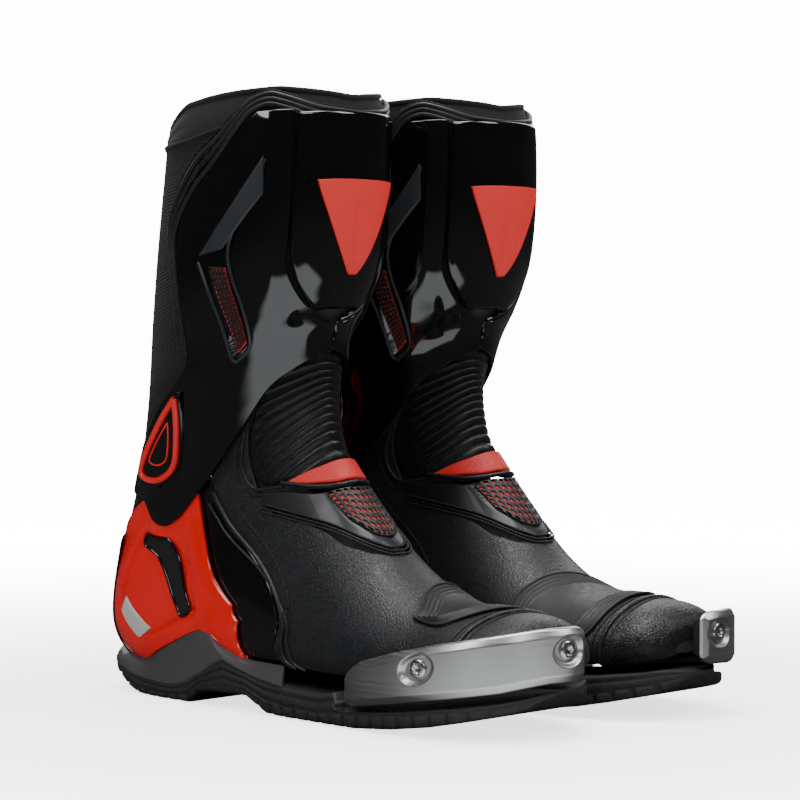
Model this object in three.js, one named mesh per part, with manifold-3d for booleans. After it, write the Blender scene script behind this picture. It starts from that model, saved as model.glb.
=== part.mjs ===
import * as THREE from "three";
import { mergeVertices } from "three/addons/utils/BufferGeometryUtils.js";
import Module from "manifold-3d";

// Motorcycle riding boots, a mirrored pair. Millimetres, +Z up, toes towards -Y, soles on z = 0.
// The right boot stands on the -X side. Local places are (w, s, z): w outwards to the lateral
// side, s forwards from the heel back, z up.

const HALF_SPACING = 54.5; // middle of the pair to the middle of each boot
const LEFT_STEP = 5; // the left boot stands this much further forward
const HEEL_TO_ORIGIN = 160.8; // s of the place that lies on y = 0
const LINING = [-9.2, -7.2]; // lifts of the lining's inner and outer face
const UPPER = [-5.2, -2.8]; // lifts of the leather uppers
const COUNTER = [-5.6, -4.1]; // lifts of the heel counter
const CUP = [-2.4, -0.2]; // lifts of the red cup that covers the counter
const SHELL = [-2.2, 0]; // lifts of the shin and calf shells
const CALF_TEXTILE = [-5, -3.8]; // lifts of the stretch calf textile
const ANKLE_BADGE = [2.3, 3.9]; // lifts of the badges beside the ankle's flex axis
const ZIP_BEARING = -140; // where the zip lies round the calf, degrees from the front

// Sections of the boot's outside, from the toe tip to the collar. Each one runs from a point on
// the front or top line to a point on the back or bottom line. lat and med are its half widths,
// mid the widest place between the two, and nf and nb say how square its front and back are.
const SECTIONS = [
  { front: [310, 38], back: [308, 33], lat: 10, med: 10, mid: 0.6, nf: 2, nb: 2, shift: -5 },
  { front: [306, 50], back: [306, 28], lat: 25, med: 25, mid: 0.6, nf: 2, nb: 2.6, shift: -5 },
  { front: [295, 60], back: [299, 25], lat: 38, med: 35, mid: 0.62, nf: 2, nb: 3.2, shift: -5 },
  { front: [272, 62], back: [273, 22], lat: 43, med: 42, mid: 0.66, nf: 2, nb: 3.6, shift: -4 },
  { front: [241, 64], back: [237, 20], lat: 42, med: 47, mid: 0.68, nf: 2, nb: 4, shift: -3 },
  { front: [216, 78], back: [201, 18], lat: 40, med: 46, mid: 0.7, nf: 2, nb: 4, shift: -1 },
  { front: [196, 99], back: [161, 16], lat: 36, med: 41, mid: 0.7, nf: 2, nb: 4, shift: 0 },
  { front: [179, 120], back: [113, 14], lat: 33, med: 37, mid: 0.68, nf: 2, nb: 4, shift: 0 },
  { front: [165, 139], back: [66, 13], lat: 31, med: 36, mid: 0.64, nf: 2, nb: 3.6, shift: 0 },
  { front: [161, 155], back: [24, 14], lat: 30, med: 36, mid: 0.58, nf: 2, nb: 3, shift: 0 },
  { front: [160, 168], back: [0, 32], lat: 31, med: 37, mid: 0.54, nf: 2, nb: 2.4, shift: 0 },
  { front: [159, 180], back: [7, 72], lat: 36, med: 37, mid: 0.5, nf: 2.2, nb: 2.2, shift: 0 },
  { front: [161, 196], back: [24, 112], lat: 43, med: 37, mid: 0.5, nf: 2.3, nb: 2.1, shift: 0 },
  { front: [167, 212], back: [34, 152], lat: 47, med: 42, mid: 0.5, nf: 2.5, nb: 2.1, shift: 0 },
  { front: [174, 233], back: [41, 196], lat: 52, med: 48, mid: 0.5, nf: 2.5, nb: 2.1, shift: 0 },
  { front: [178, 265], back: [46, 240], lat: 53, med: 50, mid: 0.5, nf: 2.5, nb: 2.1, shift: 0 },
  { front: [179, 298], back: [50, 283], lat: 51, med: 50, mid: 0.5, nf: 2.5, nb: 2.1, shift: 0 },
  { front: [178, 321], back: [53, 309], lat: 48, med: 50, mid: 0.5, nf: 2.5, nb: 2.1, shift: 0 },
].map((q) => [...q.front, ...q.back, q.lat, q.med, q.mid, q.nf, q.nb, q.shift]);

// A smooth curve through rows of numbers, carried straight on past both ends.
function through(rows, t) {
  const last = rows.length - 1;
  const i = THREE.MathUtils.clamp(Math.floor(t), 0, last - 1);
  const f = Math.min(t, last) - i;
  const before = (k) => (i === 0 ? 2 * rows[0][k] - rows[1][k] : rows[i - 1][k]);
  const after = (k) => (i + 2 > last ? 2 * rows[last][k] - rows[last - 1][k] : rows[i + 2][k]);
  return rows[0].map((_, k) => {
    const [a, b, c, d] = [before(k), rows[i][k], rows[i + 1][k], after(k)];
    return b + 0.5 * f * (c - a) + f * f * (a - 2.5 * b + 2 * c - 0.5 * d)
      + f ** 3 * (1.5 * (b - c) + 0.5 * (d - a));
  });
}

// A curve through [position, value] pairs.
function along(pairs, x) {
  const n = pairs.length;
  if (x <= pairs[0][0]) return pairs[0][1];
  if (x >= pairs[n - 1][0]) return pairs[n - 1][1];
  const i = pairs.findIndex((p) => p[0] > x) - 1;
  const f = (x - pairs[i][0]) / (pairs[i + 1][0] - pairs[i][0]);
  return THREE.MathUtils.lerp(pairs[i][1], pairs[i + 1][1], f);
}

// The place on the boot's outside at section u and bearing phi: 0 in front, 90 lateral, 180
// behind, -90 medial. lift moves it outwards. Near the toe tip it moves forwards instead.
function skin(u, bearing, lift) {
  const phi = THREE.MathUtils.euclideanModulo(bearing + 180, 360) - 180;
  const [frontS, frontZ, backS, backZ, lat, med, mid, nf, nb, shift] = through(SECTIONS, u);
  const toeShare = 1 - THREE.MathUtils.smoothstep(u, 0, 2);
  const grow = lift * (1 - toeShare);
  const depth = Math.hypot(frontS - backS, frontZ - backZ);
  const ds = (frontS - backS) / depth;
  const dz = (frontZ - backZ) / depth;
  const a = THREE.MathUtils.degToRad(Math.abs(phi));
  const [c, n] = [Math.cos(a), Math.cos(a) > 0 ? nf : nb];
  const reach = (phi >= 0 ? lat : med) + grow;
  const w = shift + Math.sign(phi) * reach * Math.abs(Math.sin(a)) ** (2 / n);
  const share = Math.abs(c) ** (2 / n);
  const f = c > 0 ? mid * (1 - share) : mid + (1 - mid) * share;
  const frontEdge = [frontS + ds * grow, frontZ + dz * grow];
  const backEdge = [backS - ds * grow, backZ - dz * grow];
  const s = THREE.MathUtils.lerp(frontEdge[0], backEdge[0], f) + lift * toeShare;
  return [w, s, THREE.MathUtils.lerp(frontEdge[1], backEdge[1], f)];
}

// Moves every point of a closed geometry and leaves it one closed body, faces outwards.
function reshape(geometry, place) {
  const at = geometry.attributes.position;
  for (let i = 0; i < at.count; i += 1) {
    at.setXYZ(i, ...place(at.getX(i), at.getY(i), at.getZ(i)));
  }
  return closed(geometry);
}

function closed(source) {
  source.deleteAttribute("uv");
  source.deleteAttribute("normal");
  const geometry = mergeVertices(source, 1e-3);
  const at = geometry.attributes.position;
  const corners = [];
  for (let i = 0; i < geometry.index.count; i += 3) {
    const tri = [0, 1, 2].map((k) => geometry.index.getX(i + k));
    if (new Set(tri).size === 3) corners.push(tri);
  }
  const point = (i) => new THREE.Vector3().fromBufferAttribute(at, i);
  let volume = 0;
  for (const [a, b, c] of corners) volume += point(a).dot(point(b).cross(point(c)));
  if (volume < 0) corners.forEach((tri) => tri.reverse());
  geometry.setIndex(corners.flat());
  geometry.computeVertexNormals();
  return geometry;
}

const wasm = await Module();
wasm.setup();

function solid(geometry) {
  const vertProperties = new Float32Array(geometry.attributes.position.array);
  const triVerts = new Uint32Array(geometry.index.array);
  return new wasm.Manifold(new wasm.Mesh({ numProp: 3, vertProperties, triVerts }));
}

function cut(geometry, ...tools) {
  const mesh = tools.reduce((body, tool) => body.subtract(solid(tool)), solid(geometry)).getMesh();
  const left = new THREE.BufferGeometry();
  left.setAttribute("position", new THREE.BufferAttribute(new Float32Array(mesh.vertProperties), 3));
  left.setIndex([...mesh.triVerts]);
  left.computeVertexNormals();
  return left;
}

// One boot. side is -1 for the right boot, whose lateral side is towards -X, and 1 for the left.
function boot(side, prefix) {
  const group = new THREE.Group();
  group.position.set(side * HALF_SPACING, side > 0 ? -LEFT_STEP : 0, 0);

  const world = ([w, s, z]) => [side * w, HEEL_TO_ORIGIN - s, z];
  const onSkin = (u, phi, lift) => world(skin(u, phi, lift));

  function add(name, material, geometry) {
    const mesh = new THREE.Mesh(geometry, material);
    mesh.name = `${prefix}_${name}`;
    group.add(mesh);
    return mesh;
  }

  // A layer between two edges, each a list of [u, phi] points with a straight rule between
  // each pair. steps are the subdivisions between points, across those along a rule.
  function layer(edgeA, edgeB, [inner, outer], across, steps = 1, raise = () => 0) {
    const rows = (edgeA.length - 1) * steps;
    return reshape(new THREE.BoxGeometry(1, 1, 1, across, rows, 1), (x, y, z) => {
      const row = (y + 0.5) * rows / steps;
      const i = Math.min(Math.floor(row + 1e-6), edgeA.length - 2);
      const at = (edge, k) => THREE.MathUtils.lerp(edge[i][k], edge[i + 1][k], row - i);
      const u = THREE.MathUtils.lerp(at(edgeA, 0), at(edgeB, 0), x + 0.5);
      const phi = THREE.MathUtils.lerp(at(edgeA, 1), at(edgeB, 1), x + 0.5);
      return onSkin(u, phi, (z < 0 ? inner : outer) + raise(u, phi));
    });
  }

  // A tube that follows the skin all the way round, from a lower to an upper edge.
  function sleeve(low, high, [inner, outer], rings, turns = 30) {
    const profile = [];
    for (let k = 0; k <= rings; k += 1) profile.push(new THREE.Vector2(100 + outer, k / rings));
    for (let k = rings; k >= 0; k -= 1) profile.push(new THREE.Vector2(100 + inner, k / rings));
    profile.push(profile[0].clone());
    return reshape(new THREE.LatheGeometry(profile, turns), (x, y, z) => {
      const phi = THREE.MathUtils.radToDeg(Math.atan2(x, z));
      return onSkin(THREE.MathUtils.lerp(low(phi), high(phi), y), phi, Math.hypot(x, z) - 100);
    });
  }

  // The same with its toe end closed, like a sock.
  function sock(toe, high, [inner, outer], rings, turns = 30) {
    const profile = [new THREE.Vector2(0, outer)];
    for (let k = 0; k <= rings; k += 1) profile.push(new THREE.Vector2(100 + outer, k / rings));
    for (let k = rings; k >= 0; k -= 1) profile.push(new THREE.Vector2(100 + inner, k / rings));
    profile.push(new THREE.Vector2(0, inner));
    return reshape(new THREE.LatheGeometry(profile, turns), (x, y, z) => {
      const radius = Math.hypot(x, z);
      if (radius < 1) {
        const [top, bottom] = [skin(toe, 0, y), skin(toe, 180, y)];
        return world(top.map((value, k) => (value + bottom[k]) / 2));
      }
      const phi = THREE.MathUtils.radToDeg(Math.atan2(x, z));
      return onSkin(THREE.MathUtils.lerp(toe, high(phi), y), phi, radius - 100);
    });
  }

  const bothSides = (edge) => [...edge, ...edge.slice(0, -1).reverse().map(([u, phi]) => [u, -phi])];
  const roundBack = (edge) => [
    ...edge, ...edge.slice(0, -1).reverse().map(([u, phi]) => [u, 360 - phi]),
  ];
  const mirrored = (edge) => edge.map(([u, phi]) => [u, -phi]);

  addFoot({ add, layer, sock, world, bothSides, roundBack, side });
  addShaft({ add, layer, sleeve, mirrored });
  addClosure({ add, layer, onSkin });
  return group;
}

const colour = (name, hex, roughness, metalness = 0) => {
  const material = new THREE.MeshStandardMaterial({ color: hex, roughness, metalness });
  material.name = name;
  return material;
};
const MATERIALS = {
  soleRubber: colour("sole_rubber", 0x2b2c2e, 0.75),
  leather: colour("black_leather", 0x2a2c30, 0.5),
  toeLeather: colour("toe_leather", 0x26282b, 0.5),
  shiftRubber: colour("shift_rubber", 0x3a3836, 0.65),
  instepPanel: colour("instep_panel", 0x33393f, 0.3),
  redTab: colour("red_tab", 0xf0503c, 0.6),
  lining: colour("lining_textile", 0x1c1c1e, 0.95),
  footbed: colour("footbed_foam", 0x39393b, 0.95),
  counter: colour("counter_gloss", 0x111214, 0.15),
  redCup: colour("red_cup", 0xf03a1e, 0.25),
  heelMesh: colour("heel_mesh", 0x1a1b1c, 0.8),
  heelPad: colour("heel_pad", 0xb8b8b4, 0.45),
  alloy: colour("slider_alloy", 0xb9bab8, 0.35, 1),
  screw: colour("screw_steel", 0xa8a8a6, 0.3, 1),
  bellows: colour("bellows_leather", 0x1b1c1e, 0.4),
  collar: colour("collar_microfibre", 0x3b3b3c, 0.9),
  calfTextile: colour("calf_textile", 0x222325, 0.9),
  shell: colour("shell_gloss", 0x0d0e0f, 0.08),
  shinPlate: colour("shin_plate", 0x101112, 0.06),
  shinBadge: colour("shin_badge", 0xf8563c, 0.7),
  vent: colour("vent_frame", 0x1d1f21, 0.35),
  ankleBadge: colour("ankle_badge", 0xe8402a, 0.3),
  zipTape: colour("zip_tape", 0x151516, 0.85),
  zipMetal: colour("zip_metal", 0x55575a, 0.35, 1),
  strap: colour("calf_strap", 0x1e1f21, 0.7),
};

// Foot

const SOLE_PLAN = [
  // s, lateral half width, medial half width
  [-4, 5, 5], [0, 12, 12], [7, 18.5, 18.5], [16, 23, 23], [30, 27, 27], [60, 31.5, 33],
  [100, 35, 37], [140, 38, 41], [175, 41, 45], [205, 44, 49], [240, 46, 51], [262, 45, 49],
  [280, 41, 45], [295, 33, 38], [305, 23, 29], [311, 12, 19], [314, 3, 10],
];
const SOLE_BOTTOM = [
  [-4, 20], [6, 15], [18, 9], [28, 4], [38, 0.5], [46, 0], [86, 0], [92, 7], [132, 8],
  [146, 0.6], [160, 0], [215, 0], [240, 2], [262, 5], [280, 8.5], [295, 12], [306, 15], [314, 19],
];
const SOLE_TOP = [[-4, 26], [4, 21], [24, 13], [60, 12], [161, 15], [201, 17], [240, 19], [273, 21],
  [299, 24], [314, 27]];
const SLIDER_LOW = [[205, 10], [215, 11], [245, 15], [275, 19.5], [303, 24], [318, 28]];
const SLIDER_HIGH = [[205, 22], [212, 29], [223, 34.5], [245, 40.5], [275, 47], [303, 52], [318, 55]];
const SLIDER_PATH = [[45, 209], [47.5, 220], [48, 238], [47.6, 256], [46, 272], [42.5, 287],
  [36, 300], [27, 310], [15, 317], [2, 320.5], [-12, 319.5]];
const SLIDER_THICKNESS = 4.8;
const SCREW_PLACES = { rear: { at: 0.33, high: 0.68 }, front: { at: 0.9, high: 0.6 } };

function addFoot({ add, layer, sock, world, bothSides, roundBack, side }) {
  add("outsole", MATERIALS.soleRubber, outsole(world));
  add("footbed", MATERIALS.footbed, layer(
    [[2.4, 154], [4, 154], [6, 154], [8.2, 156]],
    [[2.4, 206], [4, 206], [6, 206], [8.2, 204]],
    [-13.6, -11], 4, 3,
  ));
  const liningTop = [[0, 6.85], [30, 7.2], [50, 9], [70, 10.1], [90, 10.6], [130, 11], [180, 11.05]];
  add("foot_lining", MATERIALS.lining,
    sock(1.7, (phi) => along(liningTop, Math.abs(phi)), LINING, 9, 22));

  const vampOuter = [[10.2, 74], [9.1, 71], [7.8, 70], [6.95, 76], [6.45, 89], [6.4, 112],
    [5.4, 117], [4, 118], [2.75, 118], [2.75, 99], [2.75, 80], [2.75, 60], [2.75, 40],
    [2.75, 20], [2.75, 0]];
  const vampInner = [[10.6, 58], [9.2, 58], [8.2, 58], [7.6, 54], [7.05, 47], [6.6, 42],
    [6.15, 38], [5.85, 31], [5.66, 24], [5.56, 18], [5.48, 13], [5.44, 9], [5.41, 6], [5.4, 3],
    [5.4, 0]];
  add("vamp", MATERIALS.leather,
    layer(bothSides(vampOuter), bothSides(vampInner), UPPER, 6, 1));
  const toeRows = [118, 80, 40, 0];
  add("toe_cap", MATERIALS.toeLeather, layer(
    bothSides(toeRows.map((phi) => [2.66, phi])),
    bothSides(toeRows.map((phi) => [0.45, phi])), UPPER, 6, 2,
  ));
  // the shift pad wraps from the lateral side over the top to the medial side
  add("shift_pad", MATERIALS.shiftRubber, layer(
    [[4.1, 44], [4.3, 30], [4.5, 8], [4.68, -20], [4.78, -48], [4.72, -74], [4.4, -86]],
    [[3.7, 46], [3.4, 36], [3.15, 14], [3.0, -14], [2.95, -44], [3.05, -70], [3.6, -86]],
    [-1.8, -0.2], 5, 2,
  ));
  const instepUpper = [[8.65, 56.5], [8.05, 47], [7.35, 33], [7.0, 14], [6.95, 0]];
  const instepLower = [[8.25, 56.5], [7.35, 46], [6.7, 36], [5.95, 20], [5.55, 0]];
  add("instep_panel", MATERIALS.instepPanel,
    layer(bothSides(instepUpper), bothSides(instepLower), UPPER, 4, 2));
  const tabUpper = [[8.2, 42], [7.95, 34], [7.72, 20], [7.62, 0]];
  const tabLower = [[8.05, 42], [7.6, 33], [7.2, 18], [7.1, 0]];
  add("instep_tab", MATERIALS.redTab,
    layer(bothSides(tabUpper), bothSides(tabLower), [-2.2, -0.9], 2, 2));

  const counterHigh = [[6.6, 91], [7.1, 79], [7.95, 73], [9.2, 74], [10.25, 77], [10.5, 93],
    [10.9, 120], [11.05, 150], [11.1, 180]];
  const counterLow = [[6.45, 114], [6.6, 120], [6.9, 128], [7.4, 138], [7.9, 146], [8.4, 152],
    [8.8, 158], [9.3, 166], [9.6, 180]];
  add("heel_counter", MATERIALS.counter,
    layer(roundBack(counterLow), roundBack(counterHigh), COUNTER, 6, 2));
  const cupHigh = [[7.3, 92], [8.1, 87], [9.1, 82], [10.0, 81.5], [10.25, 93], [10.75, 120],
    [11, 150], [11.05, 180]];
  const cupLow = [[6.95, 117], [7.4, 108], [7.8, 103], [8.1, 110], [8.5, 130], [8.76, 147],
    [9.3, 160], [9.75, 180]];
  add("heel_cup", MATERIALS.redCup, layer(roundBack(cupLow), roundBack(cupHigh), CUP, 5, 2));
  add("heel_vent", MATERIALS.heelMesh, layer(
    [[10.25, 100], [9.75, 92], [9.2, 89.5], [8.6, 92], [8.15, 96]],
    [[10.1, 104], [9.6, 98], [9.15, 96], [8.7, 98], [8.3, 100]], [0.3, 1.4], 2, 1,
  ));
  add("heel_pad", MATERIALS.heelPad, layer(
    [[9.9, 127], [9.4, 122], [8.95, 119]], [[9.85, 134], [9.4, 132], [9.05, 131]],
    [0.3, 1.8], 2, 2,
  ));

  const screws = Object.values(SCREW_PLACES).map((place) => screwAt(place));
  const holes = screws.map(({ frame }) => placed(
    new THREE.CylinderGeometry(5.6, 5.6, 3.2, 16).rotateX(Math.PI / 2).translate(0, 0, -1.1), frame, side));
  add("toe_slider", MATERIALS.alloy, cut(slider(world), ...holes));
  screws.forEach(({ frame }, k) => {
    const head = new THREE.CylinderGeometry(4.9, 4.9, 2, 16).rotateX(Math.PI / 2).translate(0, 0, -1.3);
    add(`slider_screw_${Object.keys(SCREW_PLACES)[k]}`, MATERIALS.screw, placed(head, frame, side));
  });

  const foldBorder = [[7.2, 10], [7.55, 30], [8.2, 43], [8.85, 53], [9.8, 55], [10.6, 54],
    [11.1, 44], [11.35, 24]];
  add("bellows", MATERIALS.bellows, layer(
    foldBorder, foldBorder.map(([u, phi]) => [u, -phi]), [-6.2, -4.4], 10, 1,
  ));
}

function outsole(world) {
  const [widthSteps, lengthSteps] = [4, 26];
  const heelEnd = SOLE_PLAN[0][0];
  const toeEnd = SOLE_PLAN[SOLE_PLAN.length - 1][0];
  const lateral = SOLE_PLAN.map(([s, lat]) => [s, lat]);
  const medial = SOLE_PLAN.map(([s, , med]) => [s, med]);
  return reshape(new THREE.BoxGeometry(1, 1, 1, widthSteps, lengthSteps, 3), (x, y, z) => {
    const share = 0.5 - 0.5 * Math.cos(Math.PI * (y + 0.5));
    const s = THREE.MathUtils.lerp(heelEnd, toeEnd, 0.55 * share + 0.45 * (y + 0.5));
    const low = along(SOLE_BOTTOM, s);
    const top = along(SOLE_TOP, s);
    // the slider stands beside the sole, so the sole steps in above the slider's lower edge
    const step = Math.min(along(SLIDER_LOW, s) - 1.2, top - 2);
    const level = Math.round((z + 0.5) * 3);
    const height = [low, Math.max(step - 0.6, low + 2), Math.max(step, low + 2.6), top][level];
    const beside = s > 200 && level > 1;
    const sliderRoom = along([[200, 38.5], [235, 40], [255, 39], [272, 35], [288, 29], [301, 21],
      [309, 11], [314, 2]], s);
    const latReach = beside ? Math.min(along(lateral, s), sliderRoom) : along(lateral, s);
    return world([2 * x * (x > 0 ? latReach : along(medial, s)), s, height]);
  });
}

function sliderPoint(t, high, out) {
  const path = new THREE.CatmullRomCurve3(SLIDER_PATH.map(([w, s]) => new THREE.Vector3(w, s, 0)));
  const p = path.getPoint(t);
  const tangent = path.getTangent(t);
  const low = along(SLIDER_LOW, p.y);
  const z = THREE.MathUtils.lerp(low, along(SLIDER_HIGH, p.y), high);
  return { at: [p.x + tangent.y * out, p.y - tangent.x * out, z], outwards: [tangent.y, -tangent.x] };
}

function slider(world) {
  return reshape(new THREE.BoxGeometry(1, 1, 1, 18, 3, 1), (x, y, z) => {
    const high = [0, 0.14, 0.8, 1][Math.round((y + 0.5) * 3)];
    const edge = high === 0 || high === 1;
    const bevel = edge ? -1.8 : 0;
    return world(sliderPoint(x + 0.5, high, z > 0 ? bevel : -SLIDER_THICKNESS).at);
  });
}

function screwAt({ at, high }) {
  const { at: place, outwards } = sliderPoint(at, high, 0);
  return { frame: { place, outwards } };
}

// Turns a shape made round +Z so that +Z points outwards from the slider.
function placed(geometry, { place, outwards }, side) {
  const out = new THREE.Vector3(side * outwards[0], -outwards[1], 0);
  const turn = new THREE.Matrix4().makeBasis(
    new THREE.Vector3(0, 0, 1).cross(out), new THREE.Vector3(0, 0, 1), out,
  );
  const [w, s, z] = place;
  turn.setPosition(side * w, HEEL_TO_ORIGIN - s, z);
  return closed(geometry.applyMatrix4(turn));
}

// Shaft

const COLLAR_TOP = [[0, 16.74], [25, 16.84], [50, 16.96], [85, 17], [110, 16.94], [128, 16.7],
  [142, 16.5], [180, 16.42]];
const COLLAR_LOW = [[0, 15.85], [50, 16.15], [95, 15.85], [180, 15.8]];
const SHAFT_LINING_LOW = [[0, 11.5], [60, 11.35], [90, 11.3], [130, 11.7], [180, 11.85]];

function addShaft({ add, layer, sleeve, mirrored }) {
  const round = (pairs, step = 0) => (phi) => along(pairs, Math.abs(phi)) + step;
  add("shaft_lining", MATERIALS.lining,
    sleeve(round(SHAFT_LINING_LOW), round(COLLAR_LOW, -0.06), LINING, 5, 24));
  add("collar", MATERIALS.collar,
    sleeve(round(COLLAR_LOW), round(COLLAR_TOP), [-9.4, -3.6], 2, 30));

  const calfLateral = [[15.65, 74], [15.1, 94], [14.5, 96], [13.8, 90], [13.1, 86], [12.7, 92],
    [12.3, 106], [11.6, 120], [11.25, 128]];
  add("calf_panel", MATERIALS.calfTextile,
    layer(calfLateral, calfLateral.map(([u, phi]) => [u, 360 - phi]), CALF_TEXTILE, 12, 1));

  const shellFront = [[16.45, 38.5], [15.9, 38.5], [15.2, 38.5], [14.5, 38.5], [13.9, 38],
    [13.05, 25], [12.6, 12], [12.3, 0.8], [11.9, 0.8], [11.35, 0.8], [11.15, 26], [11.05, 43],
    [10.55, 57], [10.2, 68]];
  const shellRear = [[16.55, 62], [15.84, 80], [15.1, 100], [14.5, 103], [13.6, 95], [12.97, 92],
    [12.7, 97], [12.5, 111], [12.05, 134], [11.6, 134], [11.2, 112], [10.6, 98], [10.25, 87],
    [10.15, 79]];
  const flare = (u) => 1.6 * (1 - THREE.MathUtils.smoothstep(u, 11, 12.6));
  add("shell_lateral", MATERIALS.shell, layer(shellFront, shellRear, SHELL, 5, 1, flare));
  add("shell_medial", MATERIALS.shell,
    layer(mirrored(shellFront), mirrored(shellRear), SHELL, 5, 1, flare));
  const shinSide = [[16.35, 36.5], [15, 36.5], [14, 36], [13.2, 25], [12.75, 14]];
  add("shin_plate", MATERIALS.shinPlate,
    layer(shinSide, mirrored(shinSide), [-2.2, 0.6], 6, 2));
  const badgeSide = [[15.25, 24], [14.9, 20], [14.2, 9], [13.6, 2.5]];
  add("shin_badge", MATERIALS.shinBadge,
    layer(badgeSide, mirrored(badgeSide), [1.3, 2.6], 4, 2));
  add("calf_vent", MATERIALS.vent, layer(
    [[15.55, 55], [14.95, 66], [14.47, 74], [13.4, 65], [12.45, 57]],
    [[15.6, 59], [15.1, 75], [14.55, 86], [13.3, 75], [12.3, 65]], [0.6, 2.2], 2, 2,
  ));
  const discTop = [[12.35, 92], [11.9, 91], [11.4, 90], [10.95, 91]];
  const discRear = [[12.3, 98], [11.95, 110], [11.5, 116], [11.05, 103]];
  add("ankle_badge_lateral", MATERIALS.ankleBadge, layer(discTop, discRear, ANKLE_BADGE, 3, 2));
  add("ankle_badge_medial", MATERIALS.ankleBadge,
    layer(mirrored(discTop), mirrored(discRear), ANKLE_BADGE, 3, 2));
}

// Closure: a straight zip behind on the medial side and a calf strap over the stretch textile

const ZIP = { low: 12.3, high: 15.9, lift: -1.2, width: 13, thickness: 1.4 };
const ZIP_SLIDER = { length: 10, height: 2.4, gap: 0.35 };
const PULLER = { gap: 0.4, depth: 1.2 };
const STRAP = { hinge: -157, tip: -198, low: 14.15, high: 14.95, lifts: [-1.6, 0.8] };

function zipFrame(onSkin) {
  const low = new THREE.Vector3(...onSkin(ZIP.low, ZIP_BEARING, ZIP.lift));
  const high = new THREE.Vector3(...onSkin(ZIP.high, ZIP_BEARING, ZIP.lift));
  const up = high.clone().sub(low).normalize();
  const inside = new THREE.Vector3(...onSkin(14, ZIP_BEARING, -10));
  const outside = new THREE.Vector3(...onSkin(14, ZIP_BEARING, 10));
  const out = outside.sub(inside).normalize();
  const across = up.clone().cross(out).normalize();
  const straightOut = across.clone().cross(up).normalize();
  return { low, high, basis: new THREE.Matrix4().makeBasis(across, up, straightOut), up };
}

function addClosure({ add, layer, onSkin }) {
  const zip = zipFrame(onSkin);
  const length = zip.high.distanceTo(zip.low);
  const atZip = (geometry, alongZip, lift) => {
    const place = zip.basis.clone();
    place.setPosition(zip.low.clone().addScaledVector(zip.up, alongZip));
    return closed(geometry.translate(0, 0, lift).applyMatrix4(place));
  };
  add("zip_tape", MATERIALS.zipTape, atZip(
    new THREE.BoxGeometry(ZIP.width, length, ZIP.thickness, 2, 8, 1), length / 2, ZIP.thickness / 2));
  const sliderBase = ZIP.thickness + ZIP_SLIDER.gap;
  const sliderAt = length - ZIP_SLIDER.length;
  const body = new THREE.Shape([[-2.2, -5], [2.2, -5], [3.5, 3.2], [2.4, 5], [-2.4, 5], [-3.5, 3.2]]
    .map(([x, y]) => new THREE.Vector2(x, y)));
  const extrude = { depth: ZIP_SLIDER.height, bevelEnabled: false };
  add("zip_slider", MATERIALS.zipMetal,
    atZip(new THREE.ExtrudeGeometry(body, extrude), sliderAt, sliderBase));
  const pull = new THREE.Shape();
  pull.absarc(0, -24, 3.4, Math.PI, 2 * Math.PI);
  pull.lineTo(2, 0);
  pull.lineTo(-2, 0);
  const hole = new THREE.Path().absarc(0, -23.5, 1.4, 0, 2 * Math.PI, true);
  pull.holes.push(hole);
  add("zip_puller", MATERIALS.zipMetal, atZip(
    new THREE.ExtrudeGeometry(pull, { depth: PULLER.depth, bevelEnabled: false, curveSegments: 5 }),
    sliderAt, sliderBase + ZIP_SLIDER.height + PULLER.gap,
  ));
  const strapRows = [STRAP.low, (STRAP.low + STRAP.high) / 2, STRAP.high];
  add("calf_strap", MATERIALS.strap, layer(
    strapRows.map((u) => [u, STRAP.hinge]), strapRows.map((u) => [u, STRAP.tip]), STRAP.lifts, 6, 1));
}

const pair = new THREE.Group();
pair.add(boot(-1, "right"), boot(1, "left"));

export default pair;
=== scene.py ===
import math

import bmesh
import bpy
import numpy as np
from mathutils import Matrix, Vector

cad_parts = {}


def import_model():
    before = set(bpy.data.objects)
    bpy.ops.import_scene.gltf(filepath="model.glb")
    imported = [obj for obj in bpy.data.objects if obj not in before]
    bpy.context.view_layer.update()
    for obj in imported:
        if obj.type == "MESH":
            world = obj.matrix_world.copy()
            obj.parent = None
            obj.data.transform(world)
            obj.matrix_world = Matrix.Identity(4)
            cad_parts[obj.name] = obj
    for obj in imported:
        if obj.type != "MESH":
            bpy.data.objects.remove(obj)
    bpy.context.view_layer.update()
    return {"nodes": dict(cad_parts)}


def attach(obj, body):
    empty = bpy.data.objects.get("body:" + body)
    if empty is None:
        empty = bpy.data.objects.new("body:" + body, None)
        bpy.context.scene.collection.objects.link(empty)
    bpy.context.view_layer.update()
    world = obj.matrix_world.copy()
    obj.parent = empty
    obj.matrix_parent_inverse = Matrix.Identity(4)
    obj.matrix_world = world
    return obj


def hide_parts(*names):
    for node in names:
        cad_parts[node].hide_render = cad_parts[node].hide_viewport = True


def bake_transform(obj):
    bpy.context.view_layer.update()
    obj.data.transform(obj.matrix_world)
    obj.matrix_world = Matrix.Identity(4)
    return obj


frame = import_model()

MM = 0.001
SIDES = {"right": -1, "left": 1}
HALF_SPACING, LEFT_STEP, HEEL = 54.5, 5.0, 160.8

# ---------------------------------------------------------------- the boot's outside

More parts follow.
